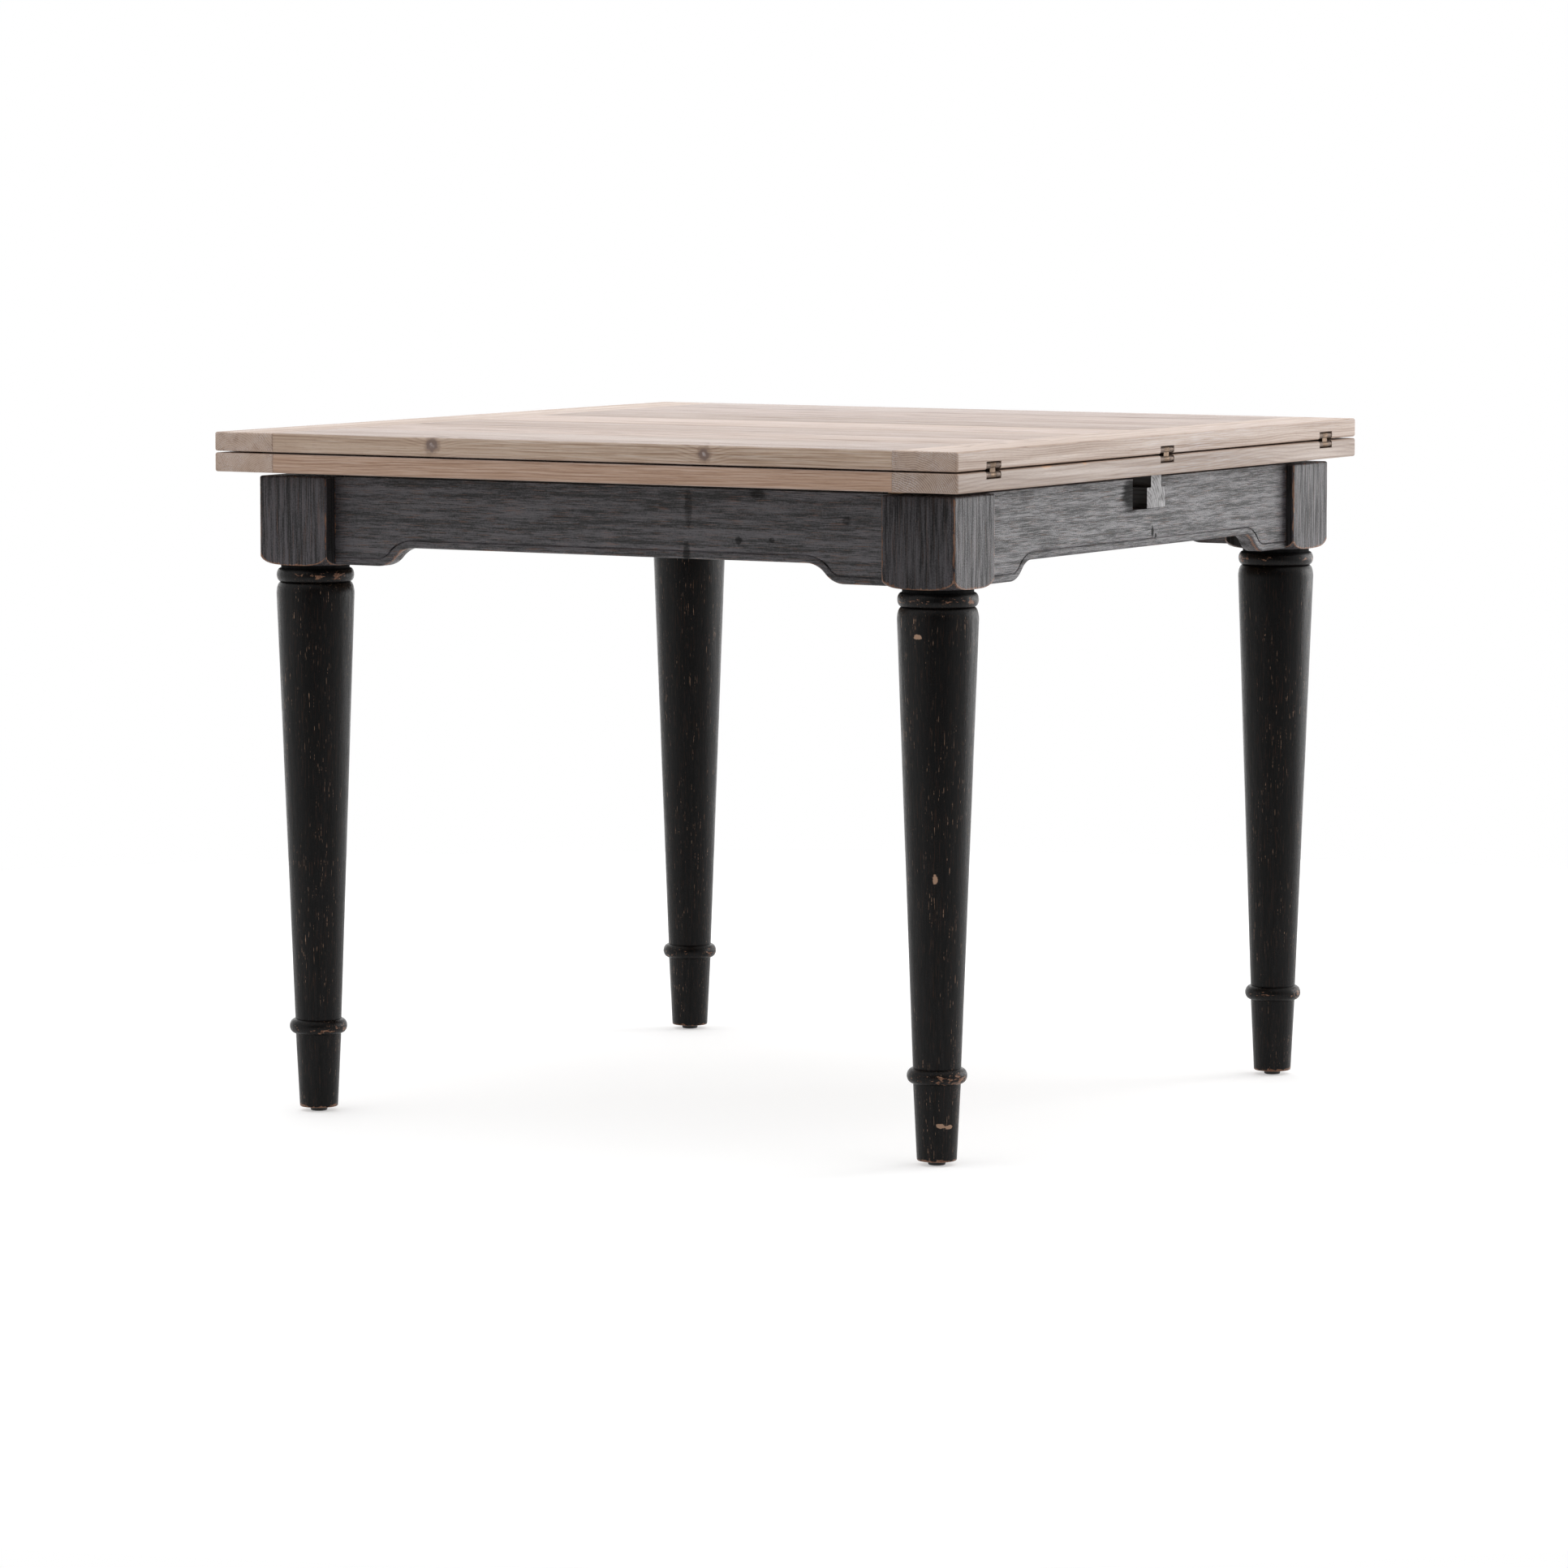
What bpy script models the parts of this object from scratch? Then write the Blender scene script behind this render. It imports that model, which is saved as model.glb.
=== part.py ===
"""Fold-over extending dining table.

Two equal board leaves lie one on the other, hinged along one edge. The pair slides half its length on a
T-section runner, then the upper leaf turns over on link hinges and lies level beside the lower one.
+Z is up, +X points to the hinged edge, and the origin is on the floor under the middle of the closed top.
"""

import math

import bmesh
import bpy
from mathutils import Matrix, Vector

# Overall sizes
TOP_LENGTH = 0.950
TOP_WIDTH = 0.965
TABLE_HEIGHT = 0.770
FIT = 0.0003

# Leaves
LEAF_THICKNESS = 0.0213
EDGE_EASE = 0.0025
EASE_STEPS = 3
BOARD_COUNT = 7
BREADBOARD_WIDTH = 0.079
TONGUE_LENGTH = 0.010
TONGUE_THICKNESS = 0.007
GROOVE_STOP = 0.020

# Link hinges
HINGE_WIDTH = 0.032
HINGE_END_DISTANCE = 0.080
PIN_INSET = 0.0042
PIN_RADIUS = 0.0015
PIN_PLAY = 0.0001
KNUCKLE_COVER = 0.0002
LINK_WIDTH = 0.012
LINK_WAIST = 0.0052
STRAP_LENGTH = 0.036
STRAP_THICKNESS = 0.003
FOLD_CLEARANCE = 0.0004

# Frame, with the overhang of the closed top on each side
HINGE_OVERHANG = 0.0205
SLIDE_OVERHANG = 0.0385
SIDE_OVERHANG = 0.0316
FELT_SPACE = 0.005
FELT_WIDTH = 0.012
FELT_END = 0.010
APRON_THICKNESS = 0.020
APRON_DEPTH = 0.0982
SIDE_APRON_SETBACK = 0.018
END_APRON_SETBACK = 0.010
ARCH_RISE = 0.0213
OGEE_LAND = 0.0563
OGEE_RUN = 0.047
OGEE_STEPS = 8
BEAD_HEIGHT = 0.0085
BEAD_GROOVE = 0.0024
BEAD_GROOVE_DEPTH = 0.0014
APRON_EASE = 0.003
TENON_LENGTH = 0.024
TENON_THICKNESS = 0.009
TENON_HEIGHT = 0.060

# Legs
BLOCK_SIZE = 0.0895
BLOCK_HEIGHT = 0.0998
BLOCK_EASE = 0.0022
BLOCK_DOME = 0.0140
TURN_SEGMENTS = 24
BEAD_STEPS = 6
COLLAR_DROP = 0.0122
COLLAR_HALF = 0.0078
COLLAR_RADIUS = 0.0436
NECK_RADIUS = 0.0386
SHOULDER_DROP = 0.0335
SHOULDER_RADIUS = 0.0439
SHAFT_FOOT_RADIUS = 0.0260
RING_HEIGHT = 0.0920
RING_HALF = 0.0083
RING_RADIUS = 0.0325
FOOT_TOP_RADIUS = 0.0257
FOOT_RADIUS = 0.0216
FOOT_EASE = 0.0015
GLIDE_RADIUS = 0.0095
GLIDE_HEIGHT = 0.005
GLIDE_EASE = 0.0015

# Runner and what guides it
RUNNER_OFFSET = 0.0325
FLANGE_WIDTH = 0.044
FLANGE_HEIGHT = 0.023
STEM_WIDTH = 0.0246
STEM_HEIGHT = 0.0162
RUNNER_PLAY = 0.0005
DROP_IN_WIDTH = 0.035
RAIL_THICKNESS = 0.018
RAIL_HEIGHT = 0.070
STOP_LENGTH = 0.024
STOP_HEIGHT = 0.018
STOP_WIDTH = 0.036
BRACE_THICKNESS = 0.020
BRACE_HEIGHT = 0.055
BRACE_DROP = 0.014
BRACE_FOOT = 0.040

# Bumper dots that hold the seam open at the free edge
BUMPER_RADIUS = 0.005
BUMPER_INSET = 0.040

# Levels and lines worked out from the sizes above
SEAM = 2 * (math.sqrt(2) - 1) * (PIN_INSET - EDGE_EASE) + FOLD_CLEARANCE
UPPER_LEAF_BOTTOM = TABLE_HEIGHT - LEAF_THICKNESS
LOWER_LEAF_TOP = UPPER_LEAF_BOTTOM - SEAM
LOWER_LEAF_BOTTOM = LOWER_LEAF_TOP - LEAF_THICKNESS
FRAME_TOP = LOWER_LEAF_BOTTOM - FELT_SPACE
BLOCK_BOTTOM = FRAME_TOP - BLOCK_HEIGHT
FLANGE_TOP = LOWER_LEAF_BOTTOM - FIT - STEM_HEIGHT
FLANGE_BOTTOM = FLANGE_TOP - FLANGE_HEIGHT

FRAME_X = (SLIDE_OVERHANG - HINGE_OVERHANG) / 2
FRAME_HALF_X = (TOP_LENGTH - SLIDE_OVERHANG - HINGE_OVERHANG) / 2
FRAME_HALF_Y = TOP_WIDTH / 2 - SIDE_OVERHANG
LEG_X = FRAME_HALF_X - BLOCK_SIZE / 2
LEG_Y = FRAME_HALF_Y - BLOCK_SIZE / 2
END_APRON_OUTER = FRAME_HALF_X - END_APRON_SETBACK
END_APRON_INNER = END_APRON_OUTER - APRON_THICKNESS
SIDE_APRON_OUTER = FRAME_HALF_Y - SIDE_APRON_SETBACK
SIDE_APRON_INNER = SIDE_APRON_OUTER - APRON_THICKNESS
SIDE_APRON_HALF = LEG_X - BLOCK_SIZE / 2 - FIT
END_APRON_HALF = LEG_Y - BLOCK_SIZE / 2 - FIT

SLIDE_TRAVEL = TOP_LENGTH / 2 - FRAME_X
RAIL_INNER = (SLIDE_TRAVEL + STOP_LENGTH) / 2 + RUNNER_PLAY
DROP_IN_EDGE = RUNNER_OFFSET - FLANGE_WIDTH / 2 - DROP_IN_WIDTH

KNUCKLE_RADIUS = PIN_INSET - KNUCKLE_COVER
LINK_LENGTH = 2 * PIN_INSET + SEAM
PIN_X = TOP_LENGTH / 2 - PIN_INSET
LOWER_PIN_Z = LOWER_LEAF_TOP - PIN_INSET
UPPER_PIN_Z = UPPER_LEAF_BOTTOM + PIN_INSET
HINGE_Y = TOP_WIDTH / 2 - HINGE_END_DISTANCE

# Finishes: sRGB colour, roughness, metallic
LIMED_PINE = ("#b8a590", 0.62, 0.0)
BLACK_PAINT = ("#2c2b2d", 0.48, 0.0)
BARE_PINE = ("#a88a66", 0.70, 0.0)
GREY_STAIN = ("#5d5a58", 0.65, 0.0)
BROWN_BRONZE = ("#6f6152", 0.42, 1.0)
DARK_STEEL = ("#55524e", 0.45, 1.0)
BLACK_NYLON = ("#151515", 0.50, 0.0)
GREY_FELT = ("#4a4845", 0.95, 0.0)
CLEAR_SILICONE = ("#cfccc4", 0.30, 0.0)


def linear(hex_colour):
    """The linear RGBA of an sRGB hex colour."""
    shares = [int(hex_colour[i : i + 2], 16) / 255 for i in (1, 3, 5)]
    return [s / 12.92 if s <= 0.04045 else ((s + 0.055) / 1.055) ** 2.4 for s in shares] + [1.0]


def material(name, finish):
    colour, roughness, metallic = finish
    made = bpy.data.materials.new(name)
    made.use_nodes = True
    shader = made.node_tree.nodes["Principled BSDF"]
    shader.inputs["Base Color"].default_value = linear(colour)
    shader.inputs["Roughness"].default_value = roughness
    shader.inputs["Metallic"].default_value = metallic
    made.diffuse_color = linear(colour)
    return made


def new_object(name, bm):
    mesh = bpy.data.meshes.new(name)
    bmesh.ops.recalc_face_normals(bm, faces=bm.faces)
    bm.to_mesh(mesh)
    bm.free()
    made = bpy.data.objects.new(name, mesh)
    bpy.context.scene.collection.objects.link(made)
    return made


def piece(name, bm, finish, parent, location=(0, 0, 0), turn=(0, 0, 0), smooth=False):
    """One sub-part, at a place given in the table's own frame, carried by an empty."""
    made = new_object(name, bm)
    made.data.materials.append(material(name + "_finish", finish))
    if smooth:
        made.data.shade_smooth()
        made.data.set_sharp_from_angle(angle=math.radians(38))
    made.location = location
    made.rotation_euler = turn
    made.parent = parent
    made.matrix_parent_inverse = parent.matrix_world.inverted()
    return made


def helper(name, bm, location=(0, 0, 0), turn=(0, 0, 0)):
    """A cutter or joining body, left out of the finished table."""
    made = new_object(name, bm)
    made.location = location
    made.rotation_euler = turn
    made.hide_render = True
    made.display_type = "WIRE"
    return made


def combine(target, operation, other):
    modifier = target.modifiers.new(operation.title() + "_" + other.name, "BOOLEAN")
    modifier.operation = operation
    modifier.object = other
    modifier.solver = "EXACT"


def axis_empty(name, location, parent=None):
    """An empty on a joint's axis, placed in the table's own frame."""
    made = bpy.data.objects.new(name, None)
    made.empty_display_size = 0.05
    bpy.context.scene.collection.objects.link(made)
    made.parent = parent
    if parent:
        made.matrix_parent_inverse = parent.matrix_world.inverted()
    made.location = location
    bpy.context.view_layer.update()
    return made


def along(axis, a, b, c):
    """A point whose run along the named axis is c and whose place across it is (a, b)."""
    return {"X": (c, a, b), "Y": (a, c, b), "Z": (a, b, c)}[axis]


def prism(outline, axis, low, high):
    """A closed outline across an axis, extruded from low to high along it."""
    bm = bmesh.new()
    face = bm.faces.new([bm.verts.new(along(axis, a, b, low)) for a, b in outline])
    grown = bmesh.ops.extrude_face_region(bm, geom=[face])["geom"]
    moved = [item for item in grown if isinstance(item, bmesh.types.BMVert)]
    bmesh.ops.translate(bm, verts=moved, vec=Vector(along(axis, 0, 0, high - low)))
    return bm


def rectangle(low_a, high_a, low_b, high_b):
    return [(low_a, low_b), (high_a, low_b), (high_a, high_b), (low_a, high_b)]


def box(low, high):
    return prism(rectangle(low[0], high[0], low[1], high[1]), "Z", low[2], high[2])


def arc(centre, radii, start, end, steps):
    """Points along an elliptical arc, both ends included, with angles in radians."""
    angles = [start + (end - start) * i / steps for i in range(steps + 1)]
    return [(centre[0] + radii[0] * math.cos(t), centre[1] + radii[1] * math.sin(t)) for t in angles]


def turned(profile, segments=TURN_SEGMENTS):
    """A profile of (radius, height) points spun about Z, closed where it meets the axis."""
    bm = bmesh.new()
    points = [bm.verts.new((radius, 0, height)) for radius, height in profile]
    edges = [bm.edges.new(pair) for pair in zip(points, points[1:])]
    bmesh.ops.spin(
        bm, geom=points + edges, cent=(0, 0, 0), axis=(0, 0, 1), angle=2 * math.pi, steps=segments
    )
    bmesh.ops.remove_doubles(bm, verts=bm.verts, dist=1e-6)
    return bm


def rod(radius, length, segments=16):
    """A round bar along Y, centred on the origin."""
    bm = bmesh.new()
    bmesh.ops.create_cone(
        bm,
        cap_ends=True,
        segments=segments,
        radius1=radius,
        radius2=radius,
        depth=length,
        matrix=Matrix.Rotation(math.pi / 2, 4, "X"),
    )
    return bm


# Legs


def leg_profile():
    """The turned part of a leg from its foot up, heights from the leg's own bottom."""
    block = BLOCK_BOTTOM - GLIDE_HEIGHT
    collar = block - COLLAR_DROP
    shoulder = block - SHOULDER_DROP
    neck = collar - COLLAR_HALF
    quarter = math.pi / 2
    ring = arc(
        (FOOT_TOP_RADIUS, RING_HEIGHT),
        (RING_RADIUS - FOOT_TOP_RADIUS, RING_HALF),
        -quarter,
        quarter,
        BEAD_STEPS,
    )
    rounding = arc(
        (NECK_RADIUS, shoulder), (SHOULDER_RADIUS - NECK_RADIUS, neck - shoulder), 0, quarter, BEAD_STEPS // 2
    )
    bead = arc((NECK_RADIUS, collar), (COLLAR_RADIUS - NECK_RADIUS, COLLAR_HALF), -quarter, quarter, BEAD_STEPS)
    foot = [(0, 0), (FOOT_RADIUS - FOOT_EASE, 0), (FOOT_RADIUS, FOOT_EASE)]
    shaft = [(SHAFT_FOOT_RADIUS, RING_HEIGHT + RING_HALF)]
    inside_block = block + BLOCK_DOME
    return foot + ring[:-1] + shaft + rounding + bead[1:] + [(NECK_RADIUS, inside_block), (0, inside_block)]


def block_body(name, location):
    """The square block over a leg, its lower end turned to a dome that cuts the corners back."""
    half = BLOCK_SIZE / 2
    height = BLOCK_HEIGHT
    body = helper(name + "_block", box((-half, -half, 0), (half, half, height)), location)
    bevel = body.modifiers.new("Eased_edges", "BEVEL")
    bevel.width = BLOCK_EASE
    bevel.segments = 2
    corner = half * math.sqrt(2)
    reach = corner - COLLAR_RADIUS
    dome = arc((COLLAR_RADIUS, BLOCK_DOME), (reach, BLOCK_DOME), -math.pi / 2, 0, BEAD_STEPS)
    over = height + BLOCK_DOME
    lathe = turned([(0, 0)] + dome + [(corner, over), (0, over)], 2 * TURN_SEGMENTS)
    combine(body, "INTERSECT", helper(name + "_lathe", lathe, location))
    return body


def mortise(name, side_x, side_y):
    """Pockets for the two apron tenons that meet in one leg, cut from the block's inner faces."""
    half_height = TENON_HEIGHT / 2 + FIT
    half_thick = TENON_THICKNESS / 2 + FIT
    middle = FRAME_TOP - APRON_DEPTH / 2
    depth = TENON_LENGTH + 2 * FIT
    inner_x = LEG_X - BLOCK_SIZE / 2
    inner_y = LEG_Y - BLOCK_SIZE / 2
    line_y = side_y * (SIDE_APRON_INNER + APRON_THICKNESS / 2)
    line_x = side_x * (END_APRON_INNER + APRON_THICKNESS / 2)
    ends_x = sorted((side_x * (inner_x - depth), side_x * (inner_x + depth)))
    ends_y = sorted((side_y * (inner_y - depth), side_y * (inner_y + depth)))
    for_side_apron = box(
        (FRAME_X + ends_x[0], line_y - half_thick, middle - half_height),
        (FRAME_X + ends_x[1], line_y + half_thick, middle + half_height),
    )
    for_end_apron = box(
        (FRAME_X + line_x - half_thick, ends_y[0], middle - half_height),
        (FRAME_X + line_x + half_thick, ends_y[1], middle + half_height),
    )
    return helper(name + "_side_mortise", for_side_apron), helper(name + "_end_mortise", for_end_apron)


def make_leg(where, side_x, side_y, frame):
    name = "leg_" + where
    x = FRAME_X + side_x * LEG_X
    y = side_y * LEG_Y
    leg = piece(name, turned(leg_profile()), BLACK_PAINT, frame, (x, y, GLIDE_HEIGHT), smooth=True)
    combine(leg, "UNION", block_body(name, (x, y, BLOCK_BOTTOM)))
    for cutter in mortise(name, side_x, side_y):
        combine(leg, "DIFFERENCE", cutter)
    top = GLIDE_HEIGHT - FIT
    profile = [(0, 0), (GLIDE_RADIUS - GLIDE_EASE, 0), (GLIDE_RADIUS, GLIDE_EASE), (GLIDE_RADIUS, top), (0, top)]
    piece("glide_" + where, turned(profile), BLACK_NYLON, frame, (x, y, 0), smooth=True)


# Aprons


def lower_edge(half):
    """The apron's lower edge as (x, z, normal) from -half to half, z from the frame's top.

    Each ogee is two equal arcs, level at both ends, that turn through the same angle.
    """
    radius = (OGEE_RUN**2 + ARCH_RISE**2) / (4 * ARCH_RISE)
    sweep = 2 * math.atan(ARCH_RISE / OGEE_RUN)
    start = half - OGEE_LAND
    rising = []
    for i in range(OGEE_STEPS + 1):
        t = sweep * i / OGEE_STEPS
        rising.append((start - radius * math.sin(t), radius * (1 - math.cos(t)), t))
    for i in range(OGEE_STEPS - 1, -1, -1):
        t = sweep * i / OGEE_STEPS
        rising.append((start - OGEE_RUN + radius * math.sin(t), ARCH_RISE - radius * (1 - math.cos(t)), t))
    right = [(half, 0.0, 0.0)] + rising
    edge = [(-x, z, -t) for x, z, t in right] + [(x, z, t) for x, z, t in reversed(right)]
    return [(x, z - APRON_DEPTH, (math.sin(t), math.cos(t))) for x, z, t in edge]


def apron_body(half):
    """Cross-sections along the lower edge, bridged: a square top, and a grooved bead and eased arris below.

    Local x runs along the apron, the outer face is at y = 0 facing -Y, and z = 0 is the frame's top.
    """
    groove = [
        (0, BEAD_HEIGHT + BEAD_GROOVE / 2),
        (BEAD_GROOVE_DEPTH, BEAD_HEIGHT),
        (0, BEAD_HEIGHT - BEAD_GROOVE / 2),
    ]
    arris = arc((APRON_EASE, APRON_EASE), (APRON_EASE, APRON_EASE), math.pi, 1.5 * math.pi, EASE_STEPS)
    section = groove + arris + [(APRON_THICKNESS, 0)]
    bm = bmesh.new()
    rings = []
    for x, z, normal in lower_edge(half):
        lower = [(x + normal[0] * rise, depth, z + normal[1] * rise) for depth, rise in section]
        ring = [(x, 0, 0)] + lower + [(x, APRON_THICKNESS, 0)]
        rings.append([bm.verts.new(point) for point in ring])
    for ring, following in zip(rings, rings[1:]):
        for i in range(len(ring)):
            j = (i + 1) % len(ring)
            bm.faces.new((ring[i], ring[j], following[j], following[i]))
    bm.faces.new(rings[0])
    bm.faces.new(rings[-1])
    return bm


def make_apron(name, half, location, turn, frame):
    apron = piece(name, apron_body(half), BLACK_PAINT, frame, location, (0, 0, turn))
    middle = APRON_THICKNESS / 2
    reach = half + TENON_LENGTH
    low = (-reach, middle - TENON_THICKNESS / 2, -APRON_DEPTH / 2 - TENON_HEIGHT / 2)
    high = (reach, middle + TENON_THICKNESS / 2, -APRON_DEPTH / 2 + TENON_HEIGHT / 2)
    combine(apron, "UNION", helper(name + "_tenons", box(low, high), location, (0, 0, turn)))
    return apron


def make_brace(where, side_x, side_y, frame):
    """A slanted block across an inner corner of the frame, its near face against the leg's inner corner.

    u and v are distances from the frame's inner corner along X and along Y.
    """
    leg_u = END_APRON_INNER - (LEG_X - BLOCK_SIZE / 2) + FIT
    leg_v = SIDE_APRON_INNER - (LEG_Y - BLOCK_SIZE / 2) + FIT
    near_u = leg_u + BRACE_FOOT
    near_v = leg_v * near_u / BRACE_FOOT
    length = math.hypot(near_u, near_v)
    far_u = near_u + BRACE_THICKNESS * length / near_v
    far_v = near_v + BRACE_THICKNESS * length / near_u
    slope = near_v / near_u
    outline = [
        (near_u - FIT / slope, FIT),
        (far_u - FIT / slope, FIT),
        (FIT, far_v - FIT * slope),
        (FIT, near_v - FIT * slope),
    ]
    corners = [(side_x * (END_APRON_INNER - u), side_y * (SIDE_APRON_INNER - v)) for u, v in outline]
    top = FRAME_TOP - BRACE_DROP
    body = prism(corners, "Z", top - BRACE_HEIGHT, top)
    piece("corner_brace_" + where, body, BARE_PINE, frame, (FRAME_X, 0, 0))


def make_felt(name, side_y, frame):
    half = SIDE_APRON_HALF - FELT_END
    middle = side_y * (SIDE_APRON_INNER + APRON_THICKNESS / 2)
    low = (-half, -FELT_WIDTH / 2, FIT)
    high = (half, FELT_WIDTH / 2, FELT_SPACE - FIT)
    piece(name, box(low, high), GREY_FELT, frame, (FRAME_X, middle, FRAME_TOP))


# Runner, the ways it slides in, and its stop


def runner_way():
    """The notch that the runner passes through: a lip over one flange, and a drop-in space beside the other."""
    right = RUNNER_OFFSET + FLANGE_WIDTH / 2 + RUNNER_PLAY
    lip = RUNNER_OFFSET + STEM_WIDTH / 2 + RUNNER_PLAY
    floor = FLANGE_BOTTOM - RUNNER_PLAY
    under_lip = FLANGE_TOP + RUNNER_PLAY
    over = LOWER_LEAF_BOTTOM
    outline = [
        (DROP_IN_EDGE, floor),
        (right, floor),
        (right, under_lip),
        (lip, under_lip),
        (lip, over),
        (DROP_IN_EDGE, over),
    ]
    return helper("runner_way", prism(outline, "X", -TOP_LENGTH, TOP_LENGTH))


def make_runner(parent):
    stem = STEM_WIDTH / 2
    flange = FLANGE_WIDTH / 2
    top = LOWER_LEAF_BOTTOM - FIT
    outline = [
        (-flange, FLANGE_BOTTOM),
        (flange, FLANGE_BOTTOM),
        (flange, FLANGE_TOP),
        (stem, FLANGE_TOP),
        (stem, top),
        (-stem, top),
        (-stem, FLANGE_TOP),
        (-flange, FLANGE_TOP),
    ]
    body = prism(outline, "X", -END_APRON_OUTER, END_APRON_OUTER)
    piece("runner", body, GREY_STAIN, parent, (FRAME_X, RUNNER_OFFSET, 0))
    end = RAIL_INNER - RUNNER_PLAY
    low = (end - STOP_LENGTH, -STOP_WIDTH / 2, FLANGE_BOTTOM - FIT - STOP_HEIGHT)
    high = (end, STOP_WIDTH / 2, FLANGE_BOTTOM - FIT)
    piece("runner_stop", box(low, high), BARE_PINE, parent, (FRAME_X, RUNNER_OFFSET, 0))


def make_rail(where, side_x, way, frame):
    """A cross rail with the runner's notch, and the keeper block that closes its drop-in space."""
    near = min(side_x * RAIL_INNER, side_x * (RAIL_INNER + RAIL_THICKNESS))
    reach = SIDE_APRON_INNER - FIT
    low = (near, -reach, FRAME_TOP - RAIL_HEIGHT)
    high = (near + RAIL_THICKNESS, reach, FRAME_TOP)
    rail = piece("cross_rail_" + where, box(low, high), BARE_PINE, frame, (FRAME_X, 0, 0))
    combine(rail, "DIFFERENCE", way)
    edge = DROP_IN_EDGE + FIT
    flange = RUNNER_OFFSET - FLANGE_WIDTH / 2 - RUNNER_PLAY
    stem = RUNNER_OFFSET - STEM_WIDTH / 2 - RUNNER_PLAY
    floor = FLANGE_BOTTOM - RUNNER_PLAY + FIT
    shoulder = FLANGE_TOP + RUNNER_PLAY
    outline = [
        (edge, floor),
        (flange, floor),
        (flange, shoulder),
        (stem, shoulder),
        (stem, FRAME_TOP),
        (edge, FRAME_TOP),
    ]
    keeper = prism(outline, "X", near, near + RAIL_THICKNESS)
    piece("keeper_" + where, keeper, BARE_PINE, frame, (FRAME_X, 0, 0))


# Leaves


def eased_box(half, rim):
    """A box about the origin whose edges on the leaf's rim are rounded; rim names its outer sides, as in '+x'."""
    bm = box([-h for h in half], half)
    bmesh.ops.recalc_face_normals(bm, faces=bm.faces)

    def side(face):
        run = max(range(3), key=lambda i: abs(face.normal[i]))
        return ("+" if face.normal[run] > 0 else "-") + "xyz"[run]

    def eased(edge):
        sides = {side(face) for face in edge.link_faces}
        return bool(sides & rim) and all(s in rim or s[1] == "z" for s in sides)

    chosen = [edge for edge in bm.edges if eased(edge)]
    bmesh.ops.bevel(
        bm, geom=chosen, offset=EDGE_EASE, segments=EASE_STEPS, profile=0.5, affect="EDGES", clamp_overlap=True
    )
    return bm


def make_board(leaf, index, middle_z, parent):
    """One glued board of a leaf, with a tongue at each end."""
    pitch = TOP_WIDTH / BOARD_COUNT
    low = -TOP_WIDTH / 2 + index * pitch
    high = low + pitch
    rim = set()
    if index == 0:
        rim.add("-y")
    else:
        low += FIT / 2
    if index == BOARD_COUNT - 1:
        rim.add("+y")
    else:
        high -= FIT / 2
    half_x = TOP_LENGTH / 2 - BREADBOARD_WIDTH - FIT
    half = (half_x, (high - low) / 2, LEAF_THICKNESS / 2)
    name = f"{leaf}_board_{index + 1}"
    board = piece(name, eased_box(half, rim), LIMED_PINE, parent, (0, (low + high) / 2, middle_z))
    stop = TOP_WIDTH / 2 - GROOVE_STOP - FIT
    reach = half_x + TONGUE_LENGTH
    tongue_low = (-reach, max(low + FIT, -stop), middle_z - TONGUE_THICKNESS / 2)
    tongue_high = (reach, min(high - FIT, stop), middle_z + TONGUE_THICKNESS / 2)
    combine(board, "UNION", helper(name + "_tongues", box(tongue_low, tongue_high)))


def make_breadboard(leaf, where, side_x, middle_z, parent):
    """A cross board that closes the ends of a leaf's boards, grooved for their tongues."""
    middle_x = side_x * (TOP_LENGTH - BREADBOARD_WIDTH) / 2
    half = (BREADBOARD_WIDTH / 2, TOP_WIDTH / 2, LEAF_THICKNESS / 2)
    rim = {"+y", "-y", "+x" if side_x > 0 else "-x"}
    name = f"{leaf}_breadboard_{where}"
    made = piece(name, eased_box(half, rim), LIMED_PINE, parent, (middle_x, 0, middle_z))
    inner = TOP_LENGTH / 2 - BREADBOARD_WIDTH
    depth = TONGUE_LENGTH + FIT
    ends = sorted((side_x * (inner - depth), side_x * (inner + depth)))
    stop = TOP_WIDTH / 2 - GROOVE_STOP
    half_groove = TONGUE_THICKNESS / 2 + FIT
    groove = box((ends[0], -stop, middle_z - half_groove), (ends[1], stop, middle_z + half_groove))
    combine(made, "DIFFERENCE", helper(name + "_groove", groove))
    return made


def make_leaf(leaf, middle_z, parent):
    """The boards and breadboards of one leaf; returns the breadboard that holds the hinges."""
    for index in range(BOARD_COUNT):
        make_board(leaf, index, middle_z, parent)
    make_breadboard(leaf, "free_end", -1, middle_z, parent)
    return make_breadboard(leaf, "hinge_end", 1, middle_z, parent)


# Link hinges, each shape drawn in XZ about a pin


def strap_reach():
    return STRAP_LENGTH - PIN_INSET


def knuckle_plate():
    """A strap rolled round the pin, bored, with a slot for the link; the leaf's face is at z = PIN_INSET."""
    under = KNUCKLE_RADIUS - STRAP_THICKNESS
    meets = math.pi - math.asin(under / KNUCKLE_RADIUS)
    rolled = arc((0, 0), (KNUCKLE_RADIUS, KNUCKLE_RADIUS), math.pi / 2, meets - 2 * math.pi, 13)
    outline = [(-strap_reach(), KNUCKLE_RADIUS)] + rolled + [(-strap_reach(), under)]
    return prism(outline, "Y", -HINGE_WIDTH / 2, HINGE_WIDTH / 2)


def link_slot():
    half = LINK_WIDTH / 2 + FIT
    back = KNUCKLE_RADIUS + FIT
    return box((-back, -half, -2 * KNUCKLE_RADIUS), (2 * KNUCKLE_RADIUS, half, 2 * KNUCKLE_RADIUS))


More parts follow.
